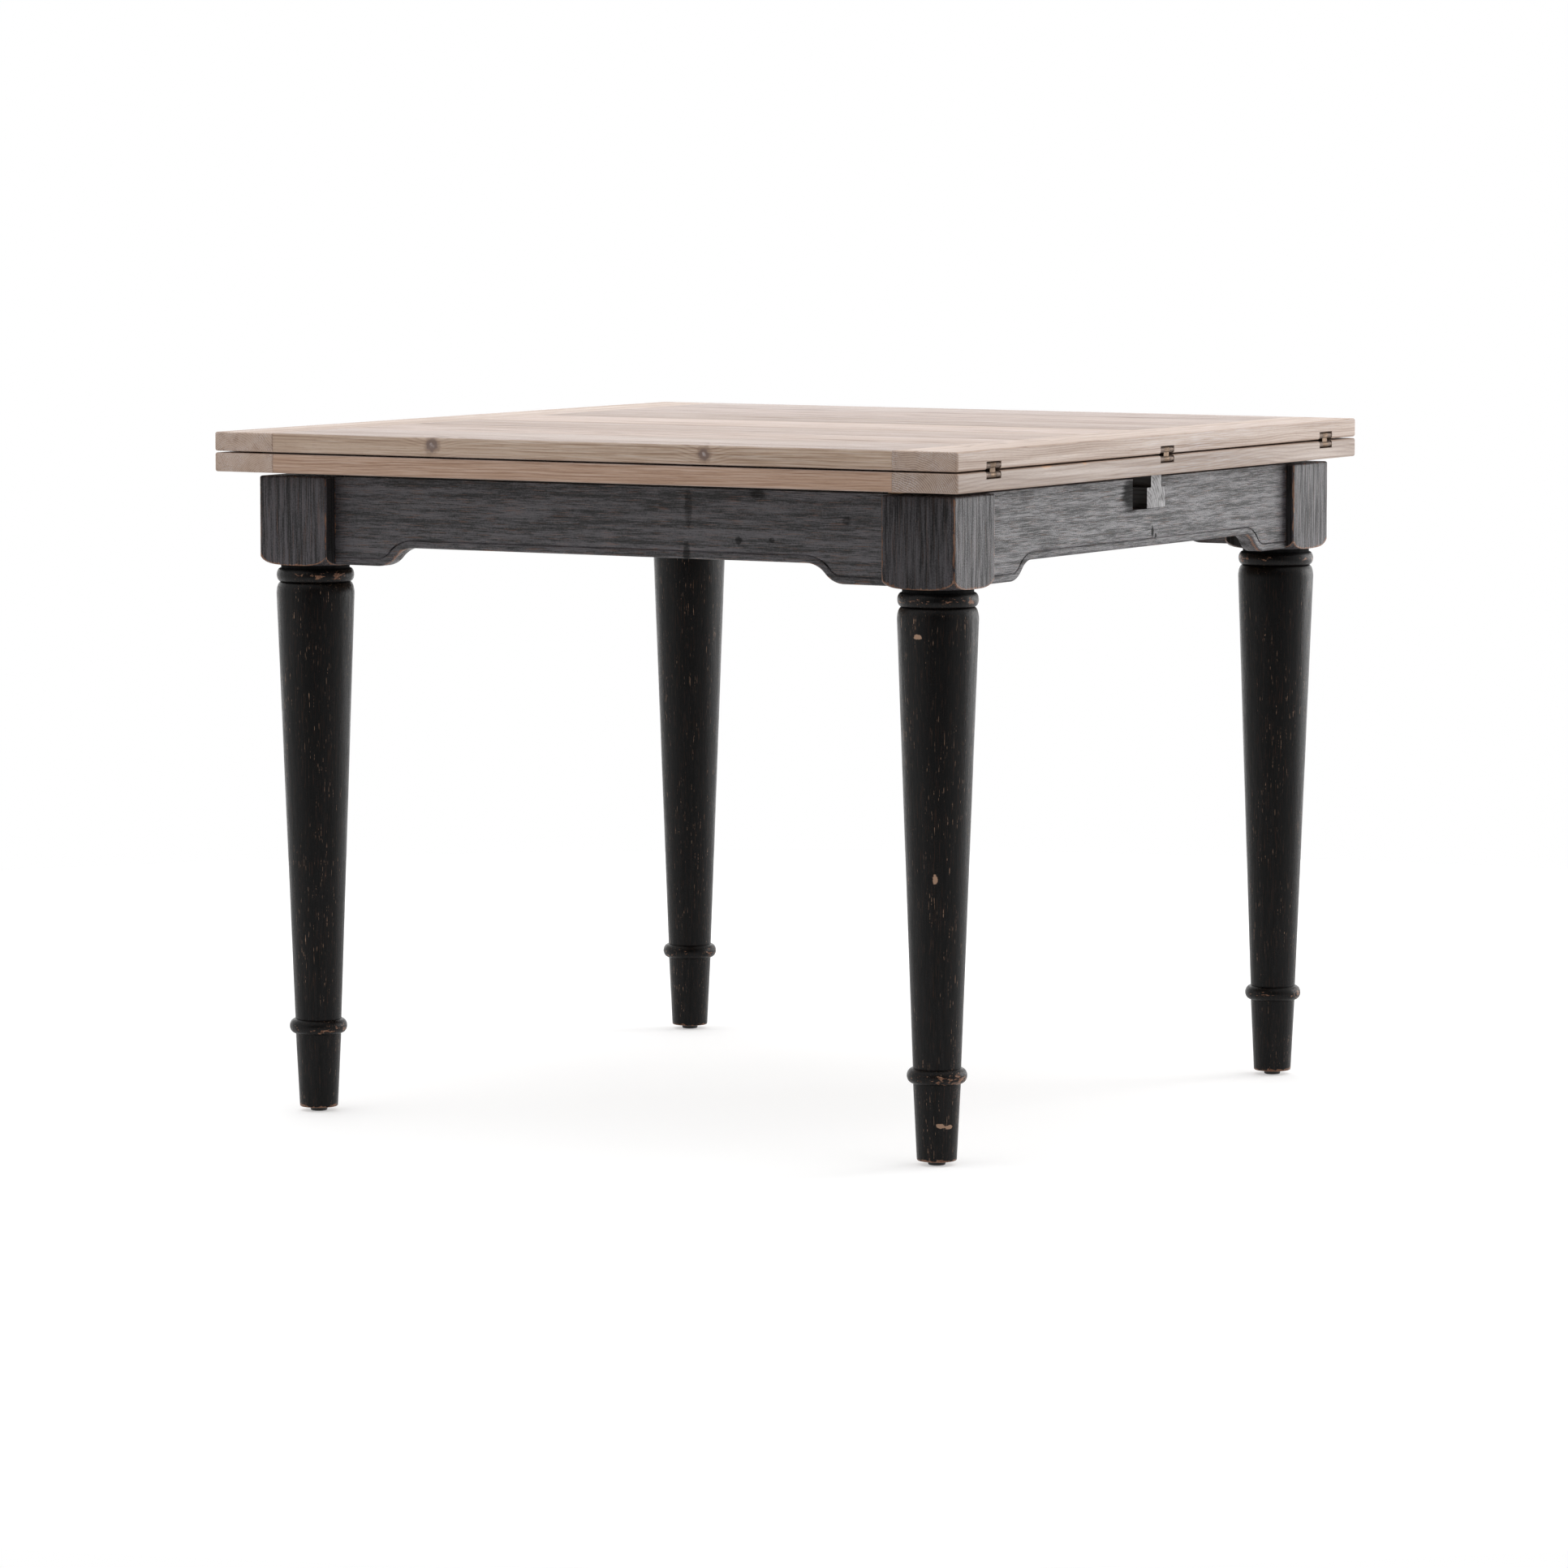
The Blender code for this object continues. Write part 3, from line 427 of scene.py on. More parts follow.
def leg_skin(look, low, high):
    """A leg: a turned profile carried round, then a dome cut into a square block.

    The dome is a quarter ellipse from the collar's radius to the block's corner. At each angle it runs only
    as far as the square reaches, so that the edge between dome and flat lies on a row of the grid. The two
    flats that face the middle of the table are painted black as shade, since they stand in shadow.
    """
    angle = leg_angles()
    middle = (low + high) / 2
    half = (high[X] - low[X]) / 2
    tall = high[Z] - low[Z]
    block = tall - look.block_height
    reach, turn = square_reach(angle, half, look.block_ease)

    radius, height, wear = (np.repeat(row[:, None], len(angle), axis=1) for row in turned_rows(look, block))
    corner = half * math.sqrt(2)
    stop = -np.arccos(np.clip((reach - look.collar_radius) / (corner - look.collar_radius), 0, 1))
    climb = np.linspace(0, 1, 9)[:, None]
    sweep = -math.pi / 2 + climb * (stop + math.pi / 2)
    dome_radius = look.collar_radius + (corner - look.collar_radius) * np.cos(sweep)
    dome_height = block + look.block_dome * (1 + np.sin(sweep))
    dome_wear = 0.25 + 0.75 * climb**4 + 0 * sweep

    rise = np.linspace(0, 1, 15)[1:, None] ** 1.6
    edge = dome_height[-1]
    face_height = edge + rise * (tall - look.block_ease - edge)
    face_radius = np.repeat(reach[None], len(rise), axis=0)
    to_corner = half - reach * np.sin(turn)
    corner_wear = np.exp(-to_corner / CORNER_RUB)[None]
    foot_wear = 0.95 * np.exp(-(face_height - edge) / EDGE_RUB)
    head_wear = 0.6 * np.exp(-(tall - face_height) / EDGE_RUB)
    face_wear = np.maximum(np.maximum(corner_wear, foot_wear), head_wear)
    quarter = np.round(angle / (math.pi / 2)) * math.pi / 2
    inner = np.cos(quarter) * middle[X] + np.sin(quarter) * middle[Y] < -0.01
    # Painted shade: the inner flats are coloured black where shadow falls.
    face_wear = np.where(inner & (to_corner > look.block_ease), INNER_SHADE, face_wear)

    over = np.radians([30, 60, 90])[:, None]
    top_radius = reach * (1 - look.block_ease * (1 - np.cos(over)) / half)
    top_height = tall - look.block_ease * (1 - np.sin(over)) + 0 * reach
    top_wear = np.full(top_radius.shape, 0.5)

    slots = np.zeros(len(radius) + len(climb) + len(rise) + len(over) - 1, int)
    slots[len(radius) - 1 :] = 1
    radius = np.concatenate([radius, dome_radius, face_radius, top_radius])
    height = np.concatenate([height, dome_height, face_height, top_height])
    wear = np.concatenate([wear, dome_wear, face_wear, top_wear])
    points = np.stack(
        [middle[X] + radius * np.cos(angle), middle[Y] + radius * np.sin(angle), low[Z] + height], axis=-1
    )
    return closed_skin(points, wear, slots)


def turned_skin(profile, middle, segments=48):
    """A profile of (radius, height) points carried round an upright axis."""
    angle = np.linspace(0, 2 * math.pi, segments, endpoint=False)
    radius, height = profile[:, :1], profile[:, 1:]
    points = np.stack(
        [
            middle[X] + radius * np.cos(angle),
            middle[Y] + radius * np.sin(angle),
            height + 0 * angle,
        ],
        axis=-1,
    )
    return closed_skin(points)


def ogee(run, half, look):
    """Rise and slope of an apron's lower edge at each run from its middle.

    From each leg inwards: a straight land, two equal arcs that make an ogee, and the raised middle.
    """
    radius = (look.ogee_run**2 + look.arch_rise**2) / (4 * look.arch_rise)
    inward = np.clip(half - look.ogee_land - np.abs(run), 0, look.ogee_run)
    lower = inward <= look.ogee_run / 2
    slope = np.arcsin(np.where(lower, inward, look.ogee_run - inward) / radius)
    rise = np.where(lower, radius * (1 - np.cos(slope)), look.arch_rise - radius * (1 - np.cos(slope)))
    return rise, slope * np.sign(run)


def apron_skin(look, half, depth, thick, place, turn, notch=None):
    """A section carried along an apron's lower edge: face, scratched groove, bead, eased arris and back.

    notch is (from, to, depth) along the run, where the top is cut down. place is the middle of the outer
    top edge, and turn the angle of the run about the upright.
    """
    start = half - look.ogee_land - look.ogee_run
    curve = np.linspace(start, half - look.ogee_land, 40)
    land = half - np.array([0.030, 0.015, 0.007, 0.003, 0.001, 0])
    right = np.concatenate([np.linspace(0, start, 9)[1:-1], curve, land])
    run = np.concatenate([-right[::-1], [0], right])
    cut = np.zeros_like(run)
    if notch:
        step = NOTCH_STEP
        run = run[(run < notch[0] - step) | (run > notch[1] + step)]
        walls = np.array([notch[0] - step, notch[0], notch[1], notch[1] + step])
        run = np.sort(np.concatenate([run, walls]))
        cut = np.where((run > notch[0] - step / 2) & (run < notch[1] + step / 2), notch[2], 0)
    rise, slope = ogee(run, half, look)

    across = np.linspace(1, -1, 9)
    groove = np.stack(
        [
            look.bead_groove_depth * (1 + np.cos(math.pi * across)) / 2,
            look.bead_height + across * look.bead_groove / 2,
        ],
        axis=1,
    )
    ease = look.apron_ease
    arris = arc((ease, ease), (ease, ease), 180, 270, 6)
    back = arc((thick - 0.001, 0.001), (0.001, 0.001), 270, 360, 2)
    under = np.array([[ease + 0.004, 0.0]])
    section = np.concatenate([groove, arris, under, back])
    along = run[:, None] + np.sin(slope)[:, None] * section[:, 1]
    height = (rise - depth)[:, None] + np.cos(slope)[:, None] * section[:, 1]
    inward = np.repeat(section[None, :, 0], len(run), axis=0)
    above = look.bead_height + np.array([0.02, 0.008, 0.0035])
    face_height = np.concatenate([-cut[:, None], (rise - depth)[:, None] + above[None]], axis=1)
    face_run = np.repeat(run[:, None], face_height.shape[1], axis=1)
    along = np.concatenate([face_run, along, run[:, None]], axis=1)
    height = np.concatenate([face_height, height, -cut[:, None]], axis=1)
    inward = np.concatenate([0 * face_run, inward, np.full((len(run), 1), thick)], axis=1)

    face_edge = np.array([0.12, 0, 0, 0.05])
    # Painted shade: the middle of the scratched groove goes below zero, so it is coloured dark.
    groove_edge = 0.2 - 0.9 * np.cos(math.pi * across / 2) ** 2
    arris_edge = np.linspace(0.35, 0.95, len(arris))
    under_edge = np.array([0.3, 0.2, 0.2, 0.2, 0.1])
    edge = np.concatenate([face_edge, groove_edge, arris_edge, under_edge])
    bend = 0.75 + 0.25 * np.clip(np.abs(slope) / 0.4, 0, 1)
    to_end = half - np.abs(run)
    wear = np.maximum(edge[None] * bend[:, None], 0.75 * np.exp(-to_end / END_RUB)[:, None])

    cos, sin = math.cos(turn), math.sin(turn)
    x = place[X] + along * cos - inward * sin
    y = place[Y] + along * sin + inward * cos
    return closed_skin(np.stack([x, y, place[Z] + height], axis=-1), wear)


def slab_skin(low, high, grain, radii, end_ease, steps=5, rim=0.0):
    """A board: a rectangle with rounded corners carried along the grain, its ends rounded by insetting it.

    The corners run round the grain to the right hand: (+, +), (-, +), (-, -) and (+, -) of the next two
    axes. wear is rim on the upright sides and 0 on the flat ones.
    """
    a, b = (grain + 1) % 3, (grain + 2) % 3
    middle = (low + high) / 2
    half = (high - low) / 2
    swing = np.radians(np.linspace(0, 90, steps + 1))
    inset = end_ease * (1 - np.cos(swing))
    reach = half[grain] - end_ease * (1 - np.sin(swing))
    inset = np.concatenate([inset[::-1], inset])[:, None]
    along = np.concatenate([-reach[::-1], reach])[:, None]
    sides = []
    for number, (side_a, side_b) in enumerate(((1, 1), (-1, 1), (-1, -1), (1, -1))):
        radius = np.maximum(radii[number] - inset, SQUARE)
        angle = swing + number * math.pi / 2
        sides.append(
            (
                side_a * (half[a] - inset - radius) + radius * np.cos(angle),
                side_b * (half[b] - inset - radius) + radius * np.sin(angle),
            )
        )
    around = np.concatenate([swing + number * math.pi / 2 for number in range(4)])
    wear = np.repeat(rim * np.abs(np.cos(around) if b == Z else np.sin(around))[None], len(along), axis=0)
    points = np.empty((len(along), 4 * len(swing), 3))
    points[..., grain] = middle[grain] + along
    points[..., a] = middle[a] + np.concatenate([side[0] for side in sides], axis=1)
    points[..., b] = middle[b] + np.concatenate([side[1] for side in sides], axis=1)
    return closed_skin(points, wear)


def screw_skin(look, head, direction):
    """A slotted countersunk head: rings from under its rim to its middle, lowered along the slot."""
    radius = look.screw_radius
    angle = np.linspace(0, 2 * math.pi, 32, endpoint=False)
    rings = np.array([0.5, 0.97, 1.0, 0.97, 0.85, 0.7, 0.55, 0.4, 0.25, 0.1])[:, None] * radius
    level = np.array([-0.0012, -0.0008, -0.0002, 0.0001] + 6 * [0.00015])
    x, y = rings * np.cos(angle), rings * np.sin(angle)
    on_top = (np.arange(len(rings)) > 2)[:, None]
    slot = np.clip((look.screw_slot / 2 + SLOT_SLOPE - np.abs(y)) / SLOT_SLOPE, 0, 1) * on_top
    z = level[:, None] - SLOT_DEPTH * slot
    up = np.array(direction, float) / np.linalg.norm(direction)
    side = np.cross(up, [0.31, 0.87, 0.38])
    side /= np.linalg.norm(side)
    points = np.array(head) + x[..., None] * side + y[..., None] * np.cross(up, side) + z[..., None] * up
    return closed_skin(points)


def make_screws(name, look, heads, finish, body):
    """Screws as one piece, each head given as its place and the way it faces."""
    skins = [screw_skin(look, *head) for head in heads]
    make_piece(name, skins, [finish], body)


# Finishes


def add(tree, kind, inputs=(), **settings):
    """Adds a shader node with its settings, sets or links its inputs, and returns its first output in use.

    The node's operation may follow its kind. Inputs are given in order or by name, among those in use.
    """
    kind, _, operation = kind.partition(" ")
    made = tree.nodes.new("ShaderNode" + kind)
    if operation:
        made.operation = operation
    for key, value in settings.items():
        setattr(made, key, value)
    in_use = [socket for socket in made.inputs if socket.enabled]
    names = [socket.name for socket in in_use]
    for key, value in inputs.items() if isinstance(inputs, dict) else enumerate(inputs):
        socket = in_use[names.index(key) if isinstance(key, str) else key]
        if isinstance(value, bpy.types.NodeSocket):
            tree.links.new(value, socket)
        elif socket.type == "RGBA":
            socket.default_value = (*value, 1.0)
        else:
            socket.default_value = value
    return next((socket for socket in made.outputs if socket.enabled), None)


def new_finish(name):
    """A material and its empty node tree."""
    made = bpy.data.materials.new(name)
    made.use_nodes = True
    made.node_tree.nodes.clear()
    return made, made.node_tree


def streaks(tree, place, grain, length, width, detail=2.0):
    """Noise drawn out along the grain: each streak is about length long and width wide, in metres."""
    scale = [1 / width] * 3
    scale[grain] = 1 / length
    drawn = add(tree, "VectorMath MULTIPLY", (place, scale))
    return add(tree, "TexNoise", {"Vector": drawn, "Scale": 1.0, "Detail": detail, "Roughness": 0.6})


def patch(tree, place, point, reach, noise, tear, fade, inside=1.0):
    """inside near a point and 0 beyond its half sizes, reach; a noise tears the edge, which fades out.

    tear and fade count in half sizes.
    """
    shift = add(tree, "VectorMath SUBTRACT", (place, point))
    spread = add(tree, "VectorMath MULTIPLY", (shift, [1 / value for value in reach]))
    away = add(tree, "VectorMath LENGTH", (spread,))
    torn = add(tree, "Math MULTIPLY_ADD", (noise, tear, away))
    start = 1 + tear / 2 - fade / 2
    return add(tree, "MapRange", (torn, start, start + fade, inside, 0.0), **SMOOTH)


def painted_pine(
    name, look, grain, specular, rib, flecks, threads, paints=None, gloss=None, relief=0.8,
    tear=BRUSHED_TEAR, chips=(), stains_and_shade=(),
):
    """Black paint brushed over pine with an open grain, waxed, and rubbed through by hand.

    The wire-brushed grain stands in ribs, drawn about twice as coarse as the real 0.5 mm so that they show:
    the ribs catch the light and the furrows stay black. Brown threads of wood show along the ribs, broken
    lines of bare wood follow the grain, and the edges are rubbed through to stained wood. Where wear is
    below zero the colour is painted black and dull, as painted shade in grooves and on inner faces. paints
    are the colours of furrow and rib, gloss their roughness, relief the strength of the ribs, rib a rib's
    length, and tear the length and width of the ragged edge of a rubbed place. flecks and threads say how
    much there is of each, chips are (point, half sizes) of knocks down to bare wood, and stains_and_shade
    (point, half sizes, share) of sooty smears, painted-over knots and painted shade beside the notch.
    """
    paints = paints or (look.paint_deep, look.paint)
    gloss = gloss or look.brushed_gloss
    made, tree = new_finish(name)
    place = add(tree, "TexCoord").node.outputs["Object"]
    wear = add(tree, "Attribute", attribute_name="wear").node.outputs["Fac"]
    ribs = streaks(tree, place, grain, rib, 0.0009, 4.0)
    broad = streaks(tree, place, grain, 0.10, 0.0050, 3.0)
    ragged = streaks(tree, place, grain, *tear, 3.0)
    patches = streaks(tree, place, grain, 0.10, 0.030, 1.0)
    lines = streaks(tree, place, grain, 0.030, 0.0008, 1.0)
    fine = streaks(tree, place, grain, 1.6 * rib, 0.0009, 1.0)
    grit = add(tree, "TexNoise", {"Vector": place, "Scale": 1 / 0.0016, "Detail": 2.0})
    dashes = add(tree, "TexNoise", {"Vector": place, "Scale": 1 / 0.0030, "Detail": 1.0})

    half = add(tree, "Math MULTIPLY", (broad, 0.45))
    tone = add(tree, "Math MULTIPLY_ADD", (ribs, 0.55, half))
    tone = add(tree, "Math MULTIPLY_ADD", (grit, 0.2, tone))
    crest = add(tree, "MapRange", (tone, 0.49, 0.71), **SMOOTH)
    colour = add(tree, "Mix", (crest, *paints), **COLOURS)
    brown = add(tree, "MapRange", (fine, 0.61, 0.68, 0.0, threads), **SMOOTH)
    colour = add(tree, "Mix", (brown, colour, look.rubbed), **COLOURS)

    lift = add(tree, "Math MULTIPLY_ADD", (ragged, 1.1, wear))
    lift = add(tree, "Math MULTIPLY_ADD", (patches, 0.7, lift))
    limit = 1.80 - 0.4 * look.wear
    bare = add(tree, "MapRange", (lift, limit, limit + 0.07), **SMOOTH)
    rare = 0.82 - 0.16 * flecks
    line = add(tree, "MapRange", (lines, rare, rare + 0.05, 0.0, 0.9), **SMOOTH)
    dash = add(tree, "MapRange", (dashes, 0.40, 0.52), **SMOOTH)
    area = add(tree, "MapRange", (patches, 0.40, 0.58), **SMOOTH)
    chipped = add(tree, "Math MULTIPLY", (line, dash))
    chipped = add(tree, "Math MULTIPLY", (chipped, area))
    for point, reach in chips:
        knock = patch(tree, place, point, reach, ragged, 1.6, 0.2)
        chipped = add(tree, "Math MAXIMUM", (chipped, knock))
    # Below zero, wear is painted shade; the stains add smears, painted knots and the notch's painted shade.
    soot_and_shade = add(tree, "MapRange", (wear, 0.0, -1.0))
    for point, reach, black in stains_and_shade:
        smear = patch(tree, place, point, reach, tone, 0.8, 0.7, black)
        soot_and_shade = add(tree, "Math MAXIMUM", (soot_and_shade, smear))

    worn_ribs = add(tree, "MapRange", (ribs, 0.45, 0.70), **SMOOTH)
    wood = add(tree, "Mix", (worn_ribs, look.rubbed, look.bare), **COLOURS)
    colour = add(tree, "Mix", (bare, colour, wood), **COLOURS)
    colour = add(tree, "Mix", (chipped, colour, look.bare), **COLOURS)
    colour = add(tree, "Mix", (soot_and_shade, colour, look.soot_and_shade), **COLOURS)

    height = add(tree, "Math MULTIPLY_ADD", (bare, -0.4, tone))
    bump = add(tree, "Bump", {"Height": height, "Strength": relief, "Distance": 0.0018})
    shine = add(tree, "MapRange", (crest, 0.0, 1.0, *gloss))
    shine = add(tree, "Math MULTIPLY_ADD", (soot_and_shade, 0.5, shine), use_clamp=True)
    sockets = {"Base Color": colour, "Normal": bump, "Roughness": shine, "Specular IOR Level": specular}
    add(tree, "OutputMaterial", {"Surface": add(tree, "BsdfPrincipled", sockets)})
    return made


def sawn_pine(
    name, grain, pith, lean, stock, spacing, limed, contrast, knots=(), chips=(), faces=(), dull=0.0,
    rim_tone=None,
):
    """Pine sawn from a log, so that its growth rings run on from face to edge to end.

    A ring is pale early wood that darkens to late wood and stops short. Brushing opens the soft wood into
    fine fibres, drawn 1 mm wide so that they show, and lime stays in them as white streaks. pith is a point
    on the log's middle, lean the log's tilt along the board, and stock the colours of early and late wood,
    lime and knots. limed is the share of lime, and contrast how strongly rings and fibres show. knots are
    (point, radius) of branches that run across the board, with lime in their cracked hearts, and chips
    (point, half sizes) of clean breaks in an edge. faces are (axis, middle, half size, share of the colour
    kept inside, share kept at the two faces): end grain takes more stain, most in the late wood, a share
    below one on a hinged edge is painted shade, and the runner's length is painted nearly black as shade,
    so that its ends come out paler. dull is added to the roughness. rim_tone tints the upright
    edges, by wear, where less lime is left.
    """
    early, late, lime, knot = stock
    made, tree = new_finish(name)
    place = add(tree, "TexCoord").node.outputs["Object"]
    wander = streaks(tree, place, grain, 0.28, 0.045, 2.0).node.outputs["Color"]
    wander = add(tree, "VectorMath MULTIPLY", (wander, (WANDER,) * 3))
    centre = [value + WANDER / 2 for value in pith]
    from_pith = add(tree, "VectorMath SUBTRACT", (place, centre))
    bent = add(tree, "VectorMath ADD", (from_pith, wander))
    turn = [0.0, 0.0, 0.0]
    turn[Y if grain == X else X] = lean
    tilted = add(tree, "Mapping", {"Vector": bent, "Rotation": turn})
    flat = [1.0, 1.0, 1.0]
    flat[grain] = 0.0
    cross = add(tree, "VectorMath MULTIPLY", (tilted, flat))
    radius = add(tree, "VectorMath LENGTH", (cross,))
    fibres = streaks(tree, place, grain, 0.055, 0.0010, 2.0)
    bands = streaks(tree, place, grain, 0.40, 0.009, 3.0)
    cloud = streaks(tree, place, grain, 0.45, 0.045, 2.0)
    fuzz = streaks(tree, place, grain, 0.008, 0.0008, 1.0)
    lumps = add(tree, "TexNoise", {"Vector": place, "Scale": 1 / 0.004, "Detail": 2.0})

    hearts = []
    halo, heart, crack = (1.5, 0.8, late, 0.5), (1.0, 0.8, knot, 0.85), (0.2, 5.0, lime, 0.5)
    for point, across in knots:
        swirl = (3.3 * across, 12 * across, 1.9 * across)
        bulge = patch(tree, place, point, swirl, lumps, 0.0, 1.9, 1.8 * spacing)
        radius = add(tree, "Math ADD", (radius, bulge))
        for wide, tear, colour, inside in (halo, heart, crack):
            reach = (wide * across, 8 * across, wide * across)
            hearts.append((patch(tree, place, point, reach, lumps, tear, 0.6 * tear, inside), colour))

    turns = add(tree, "Math MULTIPLY", (radius, 1 / spacing))
    ring = add(tree, "Math FRACT", (turns,))
    darken = add(tree, "MapRange", (ring, 0.30, 0.88), **SMOOTH)
    stop = add(tree, "MapRange", (ring, 0.92, 1.0, 1.0, 0.0))
    darken = add(tree, "Math MULTIPLY", (darken, stop))

    strength = add(tree, "MapRange", (bands, 0.32, 0.68, 0.15 * contrast, contrast))
    late_share = add(tree, "Math MULTIPLY", (darken, strength))
    wood = add(tree, "Mix", (late_share, early, late), **COLOURS)
    patterns = ((fuzz, 0.50, 0.80, 0.45), (fibres, 0.54, 0.72, 0.55), (bands, 0.52, 0.70, 0.45))
    for pattern, start, end, most in patterns:
        dark = add(tree, "MapRange", (pattern, start, end, 0.0, most * contrast), **SMOOTH)
        wood = add(tree, "Mix", (dark, wood, late), **COLOURS)
    open_grain = add(tree, "MapRange", (fibres, 0.30, 0.55, limed, 0.0))
    held = add(tree, "MapRange", (cloud, 0.34, 0.66), **SMOOTH)
    white = add(tree, "Math MULTIPLY", (open_grain, held))
    if rim_tone:
        rim = add(tree, "Attribute", attribute_name="wear").node.outputs["Fac"]
        left = add(tree, "MapRange", (rim, 0.0, 1.0, 1.0, RIM_LIME))
        white = add(tree, "Math MULTIPLY", (white, left))
    wood = add(tree, "Mix", (white, wood, lime), **COLOURS)
    if rim_tone:
        wood = add(tree, "Mix", (rim, wood, rim_tone), blend_type="MULTIPLY", **COLOURS)
    for spot, colour in hearts:
        wood = add(tree, "Mix", (spot, wood, colour), **COLOURS)
    for point, reach in chips:
        broken = patch(tree, place, point, reach, fibres, 1.2, 0.1)
        wood = add(tree, "Mix", (broken, wood, linear(CLEAN_PINE)), **COLOURS)
    for axis, middle, half, inside, outside in faces:
        way = [0.0, 0.0, 0.0]
        way[axis] = 1.0
        run = add(tree, "VectorMath DOT_PRODUCT", (place, way))
        run = add(tree, "Math SUBTRACT", (run, middle))
        run = add(tree, "Math ABSOLUTE", (run,))
        ringed = 1.1 if axis == grain else 0.0
        plain = 1 - 0.35 * ringed
        stain = (darken, ringed * (1 - outside), plain * (1 - outside))
        stain = add(tree, "Math MULTIPLY_ADD", stain)
        # End grain darkened by stain; a share below one on a hinged edge, and the runner's length, darkened
        # as painted shade.
        soak_and_shade = add(tree, "MapRange", (run, half - 2 * SOAK, half - SOAK, 1 - inside, stain))
        wood = add(tree, "Mix", (soak_and_shade, wood, BLACK), **COLOURS)

    height = add(tree, "Math MULTIPLY_ADD", (darken, 0.8, fibres))
    bump = add(tree, "Bump", {"Height": height, "Strength": 0.35, "Distance": 0.0004})
    wide = add(tree, "Math MULTIPLY", (cloud, 0.4))
    polish = add(tree, "Math MULTIPLY_ADD", (bands, 0.6, wide))
    shine = add(tree, "MapRange", (polish, 0.36, 0.64, 0.40 + dull, 0.70 + dull))
    sockets = {"Base Color": wood, "Normal": bump, "Roughness": shine}
    add(tree, "OutputMaterial", {"Surface": add(tree, "BsdfPrincipled", sockets)})
    return made


def aged_metal(name, colour, dark_share, roughness):
    """Steel or bronze, rolled, browned and handled: soft dark blotches, and fine scratches that glint."""
    made, tree = new_finish(name)
    place = add(tree, "TexCoord").node.outputs["Object"]
    blotch = add(tree, "TexNoise", {"Vector": place, "Scale": 1 / 0.007, "Detail": 6.0, "Roughness": 0.7})
    scratch = streaks(tree, place, Y, 0.012, 0.0004, 2.0)
    dark = [value * (1 - dark_share) for value in colour]
    browned = add(tree, "MapRange", (blotch, 0.25, 0.75), **SMOOTH)
    tone = add(tree, "Mix", (browned, colour, dark), **COLOURS)
    shine = add(tree, "MapRange", (blotch, 0.3, 0.7, roughness - 0.08, roughness + 0.15))
    bump = add(tree, "Bump", {"Height": scratch, "Strength": 0.2, "Distance": 0.0001})
    sockets = {"Base Color": tone, "Normal": bump, "Roughness": shine, "Metallic": 1.0}
    add(tree, "OutputMaterial", {"Surface": add(tree, "BsdfPrincipled", sockets)})
    return made


def grained_plain(name, colour, spacing, contrast, roughness, depth, more=None):
    """A plain stuff with a fine even grain of the given spacing and depth, darker in the hollows.

    more are other sockets of its shader.
    """
    made, tree = new_finish(name)
    place = add(tree, "TexCoord").node.outputs["Object"]
    grit = add(tree, "TexNoise", {"Vector": place, "Scale": 1 / spacing, "Detail": 3.0})
    dark = [value * (1 - contrast) for value in colour]
    raised = add(tree, "MapRange", (grit, 0.35, 0.65), **SMOOTH)
    tone = add(tree, "Mix", (raised, dark, colour), **COLOURS)
    bump = add(tree, "Bump", {"Height": grit, "Strength": 0.4, "Distance": depth})
    sockets = {"Base Color": tone, "Normal": bump, "Roughness": roughness, **(more or {})}
    add(tree, "OutputMaterial", {"Surface": add(tree, "BsdfPrincipled", sockets)})
    return made


# Operators


class TABLE_OT_legs(bpy.types.Operator):
    """Makes the four turned legs and the glides under them"""

    bl_idname = "table.legs"
    bl_label = "Legs"

    def execute(self, context):
        look = context.scene.table_legs
        paint = context.scene.table_paint
        if look.ring_radius <= look.foot_top_radius:
            raise ValueError("the ring has to stand out from the foot")
        # Turned smooth, painted and waxed: deep black with a satin gloss, and bare wood in broken lines.
        shaft = painted_pine(
            "rubbed_black_paint_turned", paint, Z, specular=0.16, rib=0.038, flecks=0.87, threads=0.10,
            paints=(paint.shaft_deep, paint.shaft), gloss=paint.turned_gloss, relief=0.3, tear=TURNED_TEAR,
            chips=LEG_KNOCKS,
        )
        # Planed, brushed and painted: greyer, with ribs that catch the light and corners rubbed brown.
        block = painted_pine(
            "rubbed_black_paint_upright", paint, Z, specular=0.33, rib=0.040, flecks=0.3, threads=0.4,
            stains_and_shade=[BLOCK_SMEAR],
        )
        # Moulded in one piece, so black right through, satin, with a fine even grain.
        nylon = grained_plain(
            "black_nylon_moulded", context.scene.table_hardware.nylon, spacing=0.0006, contrast=0.3,
            roughness=0.5, depth=0.0001,
        )
        for corner in CORNERS:
            leg, glide = "leg_" + corner, "glide_" + corner
            skin = leg_skin(look, *box(leg))
            make_piece("turned_" + leg, [skin], [shaft, block], "frame", [leg])
            low, high = box(glide)
            radius = (high[X] - low[X]) / 2
            ease = radius / 6
            rim = arc((radius - ease, low[Z] + ease), (ease, ease), -90, 0, 5)
            profile = np.concatenate([rim, [(radius, high[Z])]])
            skin = turned_skin(profile, (low + high) / 2)
            make_piece("foot_" + glide, [skin], [nylon], "frame", [glide])
        return {"FINISHED"}


